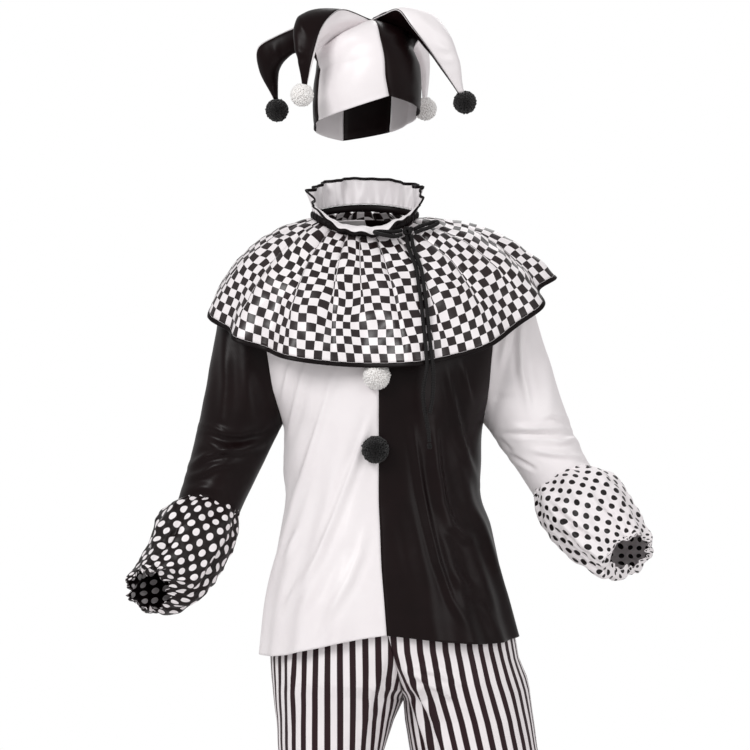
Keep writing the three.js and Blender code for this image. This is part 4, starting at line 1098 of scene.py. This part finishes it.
# Neck frill: a white ruffle with a black edge. It stands at the sides and behind, and is folded out in front.
FRILL_WAVES, FRILL_WAVE_DEPTH = 11, 7
FRILL_SHAPE = columns("height lean lift", [
    (34, 4, 0), (36, 11, 0), (38, 14, 0), (36, 6, 0), (30, 0, 0),
    (24, 50, 3), (19, 112, 6), (22, 60, 3), (34, 4, 0),
])


def frill_point(angle, along):
    shape = read_table(FRILL_SHAPE, angle % math.tau / math.tau * (len(FRILL_SHAPE) - 1))
    lean, height = math.radians(shape["lean"]), shape["height"]
    root = neck_point(angle) + Vector((0, 0, CASING_HALF_HEIGHT + SEAM_GAP))
    turn = FRILL_WAVES * angle + 0.8 * math.sin(2 * angle + 1)
    wave = FRILL_WAVE_DEPTH * along * (0.75 + 0.25 * math.sin(4 * angle)) * math.cos(turn)
    gather = math.exp(-4 * along) * 1.1 * math.cos(4 * FRILL_WAVES * angle + 3 * math.sin(2 * angle))
    ripple = 1.5 * along * math.sin(2.6 * turn + 1.2 * math.sin(3 * angle)) + gather
    out = math.sin(lean) * height * along + (wave + ripple) * abs(math.cos(lean))
    rise = math.cos(lean) * height * along + shape["lift"] * 4 * along * (1 - along)
    rise += (wave * 0.5 + ripple) * abs(math.sin(lean))
    return root + Vector((out * math.cos(angle), out * math.sin(angle), rise))


frill_satin = satin("white frill satin", "#f4f0f1", "#e4dde0", 0.4, 0.1)
bm = sewn_sheet(528, 16, lambda v: lambda u: frill_point(math.tau * u, v), (-11, 0, -60), closed=True,
                cloth_at=lambda u, v, face: (900 * u, 36 * v))
frill = cloth_piece("neck_frill_cloth", bm, frill_satin, "white_cloth", "neck_frill", wall=0.8)
frill_edge = binding("frill_strip", edge_frame(frill_point, 0.002), 528, 4.6, 2.4, "frill_binding")


# Hat: four points of satin with a pompom on each. Six panels meet at the crown, and each point is seamed
# along its ridge and beneath. The rim is turned in and stitched.
BRIM = {"xMiddle": -7, "yMiddle": 4, "halfWidth": 77, "halfLength": 96, "z": 158, "leanX": 0.13,
        "leanY": -0.3}
BRIM_TURN = math.radians(23)
CROWN = Vector((-1, 2, 308))
DOME = columns("reach height", [(1, 0), (1.03, 0.24), (1, 0.5), (0.9, 0.75), (0.6, 0.94), (0, 1)])
DOME_STEPS, HORN_STEPS = 5, 6
HORNS = {
    "frontLeft": {
        "brim": -165,
        "ridge": [(-43, -40, 322), (-60, -66, 312), (-74, -84, 293), (-84, -94, 264), (-91, -94, 236),
                  (-97, -88, 206)],
        "under": [(-88, -47, 250), (-98, -58, 262), (-108, -68, 252), (-105, -76, 230), (-105, -83, 205)],
        "pompom": (-105, -86, 190.6),
    },
    "frontRight": {
        "brim": 14,
        "ridge": [(16, -22, 315), (38, -42, 321), (58, -54, 296), (80, -54, 268), (104, -42, 234),
                  (131, -23, 194.5)],
        "under": [(64, 6, 264), (80, 4, 281), (104, 2, 268), (124, -4, 236), (138.5, -14, 196.5)],
        "pompom": (140, -16, 181.9),
    },
    "backRight": {
        "brim": 66,
        "ridge": [(24, 34, 322), (52, 66, 314), (74, 88, 292), (87, 100, 262), (88, 104, 228),
                  (84, 103, 191)],
        "under": [(42, 86, 254), (56, 93, 262), (67, 98, 248), (72, 101, 224), (77, 103, 189.5)],
        "pompom": (81, 104, 175.8),
    },
    "backLeft": {
        "brim": 160,
        "ridge": [(-46, 24, 320), (-96, 22, 304), (-146, 22, 284), (-174, 32, 266), (-172, 44, 232),
                  (-150, 44, 189.5)],
        "under": [(-88, 36, 256), (-108, 40, 268), (-130, 44, 262), (-140, 46, 232), (-142, 46, 187)],
        "pompom": (-144, 45, 172),
    },
}
FRONT_SEAM = (-70, -74.6, -76.4, -80, -81.5, -81.5)
HAT_PANELS = {                 # each half: its point, the middle of its panel, and its swell from rim to tip
    "hat_front_left": ("white", [("frontLeft", FRONT_SEAM, (28, 7, 12, 7, 5))]),
    "hat_front_right": ("black", [("frontRight", FRONT_SEAM, (22, 5, 12, 9, 5))]),
    "hat_right_side": ("white", [("frontRight", (40,) * 6, (4, 4, 30, 24, 5)),
                                 ("backRight", (40,) * 6, (4, 4, 14, 12, 5))]),
    "hat_back_right": ("black", [("backRight", (113,) * 6, (8, 7, 14, 12, 5))]),
    "hat_back_left": ("white", [("backLeft", (113,) * 6, (8, 7, 22, 16, 5))]),
    "hat_left_side": ("black", [("backLeft", (178,) * 6, (2, 4, 18, 14, 5)),
                                ("frontLeft", (178,) * 6, (2, 4, 38, 22, 5))]),
}
HAT_ROWS, HAT_ACROSS = 88, 28
CURVE_STEPS = 12


def dome_point(degrees, step):
    ring = read_table(DOME, step)
    angle = math.radians(degrees)
    across = math.cos(angle - BRIM_TURN) / BRIM["halfWidth"]
    along = math.sin(angle - BRIM_TURN) / BRIM["halfLength"]
    radius = 1 / math.hypot(across, along)
    x, y = radius * math.cos(angle), radius * math.sin(angle)
    brim_height = BRIM["z"] + BRIM["leanX"] * x + BRIM["leanY"] * y
    low = Vector((BRIM["xMiddle"] + x * ring["reach"], BRIM["yMiddle"] + y * ring["reach"], brim_height))
    middle = Vector((BRIM["xMiddle"], BRIM["yMiddle"], brim_height))
    return low + (CROWN - middle) * ring["height"]


def smooth_line(points):
    """The smooth curve through points, as a list of close points and how far along it each lies."""
    points = [Vector(p) for p in points]
    ends = [2 * points[0] - points[1], *points, 2 * points[-1] - points[-2]]
    line = []
    for a, b, c, d in zip(ends, ends[1:], ends[2:], ends[3:]):
        t0, t1, t2 = ((q - p).length ** 0.5 for p, q in ((a, b), (b, c), (c, d)))
        leaving = ((b - a) / t0 - (c - a) / (t0 + t1) + (c - b) / t1) * t1
        arriving = ((c - b) / t1 - (d - b) / (t1 + t2) + (d - c) / t2) * t1
        for i in range(CURVE_STEPS):
            t = i / CURVE_STEPS
            bend = 2 * (b - c) + leaving + arriving
            turn = 3 * (c - b) - 2 * leaving - arriving
            line.append(b + leaving * t + turn * t * t + bend * t ** 3)
    line.append(points[-1])
    passed = [0]
    for p, q in zip(line, line[1:]):
        passed.append(passed[-1] + (q - p).length)
    return line, [length / passed[-1] for length in passed]


def at_share(curve, share):
    line, passed = curve
    i = min(max(sum(1 for length in passed if length <= share) - 1, 0), len(line) - 2)
    return line[i].lerp(line[i + 1], min(1, (share - passed[i]) / (passed[i + 1] - passed[i])))


def hat_half(horn_name, seam, swell):
    """The rows of a half panel, from the rim over the dome to the crown and out to the tip. Both edges are
    seams, and the cloth swells between them."""
    horn = HORNS[horn_name]
    ridge = smooth_line([CROWN, *horn["ridge"]])
    beneath = smooth_line([dome_point(horn["brim"], 2), *horn["under"]])
    hand = math.copysign(1, (seam[0] - horn["brim"] + 540) % 360 - 180)
    turns = [{"angle": angle} for angle in seam]
    table = [{"depth": depth} for depth in swell[1:]]

    def inner(row):
        if row <= DOME_STEPS:
            return dome_point(read_table(turns, row)["angle"], row)
        return at_share(ridge, (row - DOME_STEPS) / HORN_STEPS)

    def outer(row):
        if row <= 2:
            return dome_point(horn["brim"], row)
        return at_share(beneath, (row - 2) / (DOME_STEPS + HORN_STEPS - 2))

    def row_at(v):
        row = v * (DOME_STEPS + HORN_STEPS)
        before, after = max(row - 0.8, 0), min(row + 0.8, DOME_STEPS + HORN_STEPS)
        onward = inner(after) + outer(after) - inner(before) - outer(before)
        start, end = inner(row), outer(row)
        out = (end - start).cross(onward).normalized() * -hand
        if row < DOME_STEPS:
            depth = swell[0] + (swell[1] - swell[0]) * (row / DOME_STEPS) ** 2
        else:
            depth = read_table(table, 3 * (row - DOME_STEPS) / HORN_STEPS)["depth"]
        return lambda u: start.lerp(end, u) + out * (depth * math.sin(u * math.pi) ** 0.8)
    return row_at


HAT_CREASES = {                # lines of points (x, z) on the side towards the camera
    "hat_front_left": [
        ([(-70, 296), (-44, 305), (-22, 309), (-4, 307)], 5, 2.4),
        ([(-58, 268), (-40, 280), (-16, 284)], 6, 1.6),
        ([(-62, 204), (-48, 226), (-40, 250)], 7, 1.4),
    ],
    "hat_front_right": [
        ([(30, 316), (44, 304), (52, 288)], 5, 1.8),
        ([(14, 272), (34, 282), (54, 282)], 6, 1.5),
    ],
    "hat_left_side": [
        ([(-110, 312), (-104, 292), (-92, 276)], 5, 1.8),
        ([(-118, 264), (-108, 254), (-96, 252)], 5, 1.6),
        ([(-150, 276), (-146, 258), (-140, 246)], 5, 1.6),
    ],
    "hat_right_side": [
        ([(62, 318), (78, 300), (96, 286)], 6, 2),
        ([(92, 272), (108, 262), (120, 262)], 5, 1.6),
        ([(100, 248), (114, 244), (126, 246)], 5, 1.2),
    ],
    "hat_back_right": [([(60, 300), (76, 290), (86, 284)], 5, 1.6)],
    "hat_back_left": [
        ([(-120, 300), (-132, 284), (-150, 276)], 5, 1.8),
        ([(-30, 300), (-56, 296), (-84, 300)], 6, 1.6),
    ],
}
RIM_HEM = 0.24                 # where the rim's stitching runs, in steps of the dome


def hat_lift(creases, two_halves):
    def lift(spot, u, v):
        row = v * (DOME_STEPS + HORN_STEPS)
        at_ridge = math.exp(-(u * HAT_ACROSS / 1.2) ** 2) * (row > DOME_STEPS or not two_halves)
        at_under = math.exp(-((1 - u) * HAT_ACROSS / 1.2) ** 2)
        stitched = math.exp(-((row - RIM_HEM) / 0.09) ** 2)
        free = math.sin(math.pi * u) ** 0.5 * min(1, 2 * row)
        folds = crease_height(creases, spot.x, spot.z) + soft_bumps(spot, 34, 1.3)
        return folds * free - 0.8 * (at_ridge + at_under) - 0.5 * stitched
    return lift


def joined(sheets):
    """Half panels made into one, welded along the line that they share."""
    bm = sheets[0]
    for sheet in sheets[1:]:
        mesh = bpy.data.meshes.new("half panel")
        sheet.to_mesh(mesh)
        sheet.free()
        bm.from_mesh(mesh)
        bpy.data.meshes.remove(mesh)
    bmesh.ops.remove_doubles(bm, verts=bm.verts, dist=0.02 * MM)
    return bm


HAT_SATIN = {
    "white": satin("white hat satin", WHITE, WHITE_SHADE, 0.36, 0.1),
    "black": satin("black hat satin", BLACK, BLACK_SHEEN, 0.36, 0, shine=0.12),
}
for node, (shade, halves) in HAT_PANELS.items():
    lift = hat_lift(HAT_CREASES[node], len(halves) > 1)
    sheets = [sewn_sheet(HAT_ACROSS, HAT_ROWS, hat_half(*half), (-5, 2, 235), raised=lift,
                         cloth_at=lambda u, v, face: (110 * u, 330 * v)) for half in halves]
    panel = cloth_piece(node + "_cloth", joined(sheets), HAT_SATIN[shade], shade + "_cloth", node)


# Pompoms: balls of cut yarn, thick and soft, so that only the trimmed ends show.
HAT_POMPOM_RADIUS, TUNIC_POMPOM_RADIUS = 17.5, 20.5
POMPOM_CORE = 0.84             # the solid middle, as a share of the radius
YARN_ENDS = 1500
YARN_RADII = (0.9, 1.3)        # at the root and at the trimmed end


def yarn(name, colour, colour_deep):
    material, tree, shader = new_material(name, 0.9, 0.2, 0.6, 0.2)
    where = add(tree, "ShaderNodeTexCoord")
    fibres = add(tree, "ShaderNodeTexNoise", links={"Vector": where.outputs["Object"]},
                 values={"Scale": 420, "Detail": 2})
    tree.links.new(two_tone(tree, fibres.outputs["Fac"], colour_deep, colour), shader.inputs["Base Color"])
    return material


YARNS = {"white": yarn("white yarn", "#ffffff", "#f6f0ec"), "black": yarn("black yarn", "#0f0a0b", "#050304")}


def pompom(node, middle, radius, shade, seed, sewn_side=None):
    chance = random.Random(seed)
    bm = bmesh.new()
    core = radius * POMPOM_CORE * MM
    bmesh.ops.create_icosphere(bm, subdivisions=3, radius=core)
    for i in range(YARN_ENDS):
        height = 1 - 2 * (i + 0.5) / YARN_ENDS
        turn = i * math.pi * (3 - 5 ** 0.5)
        ring = (1 - height * height) ** 0.5
        way = Vector((ring * math.cos(turn), ring * math.sin(turn), height))
        way += Vector([chance.gauss(0, 0.05) for _ in range(3)])
        way.normalize()
        short = 0.84 if sewn_side and way.dot(sewn_side) > 0.5 else 1
        reach = radius * MM * short * (0.97 + 0.035 * chance.gauss(0, 1))
        length = reach - 0.8 * core
        outward = way.to_track_quat("Z", "X").to_matrix().to_4x4()
        spin = Matrix.Rotation(chance.uniform(0, math.tau), 4, "Z")
        place = Matrix.Translation(way * (reach - length / 2)) @ outward @ spin
        bmesh.ops.create_cone(bm, cap_ends=True, segments=3, radius1=YARN_RADII[0] * MM,
                              radius2=YARN_RADII[1] * MM, depth=length, matrix=place)
    bmesh.ops.translate(bm, verts=bm.verts, vec=Vector(middle) * MM)
    placed(finish_mesh(node + "_yarn", bm, YARNS[shade]), shade + "_yarn", node)


for seed, (horn, place, shade) in enumerate([("frontLeft", "front_left", "white"),
                                             ("frontRight", "front_right", "black"),
                                             ("backRight", "back_right", "white"),
                                             ("backLeft", "back_left", "black")]):
    pompom("hat_pompom_" + place, HORNS[horn]["pompom"], HAT_POMPOM_RADIUS, shade, seed)
TOWARDS_CLOTH = Vector((0, 1, 0))
pompom("tunic_pompom_white", (7, -143.2, -231), TUNIC_POMPOM_RADIUS, "white", 11, TOWARDS_CLOTH)
pompom("tunic_pompom_black", (5, -142, -341), TUNIC_POMPOM_RADIUS, "black", 12, TOWARDS_CLOTH)
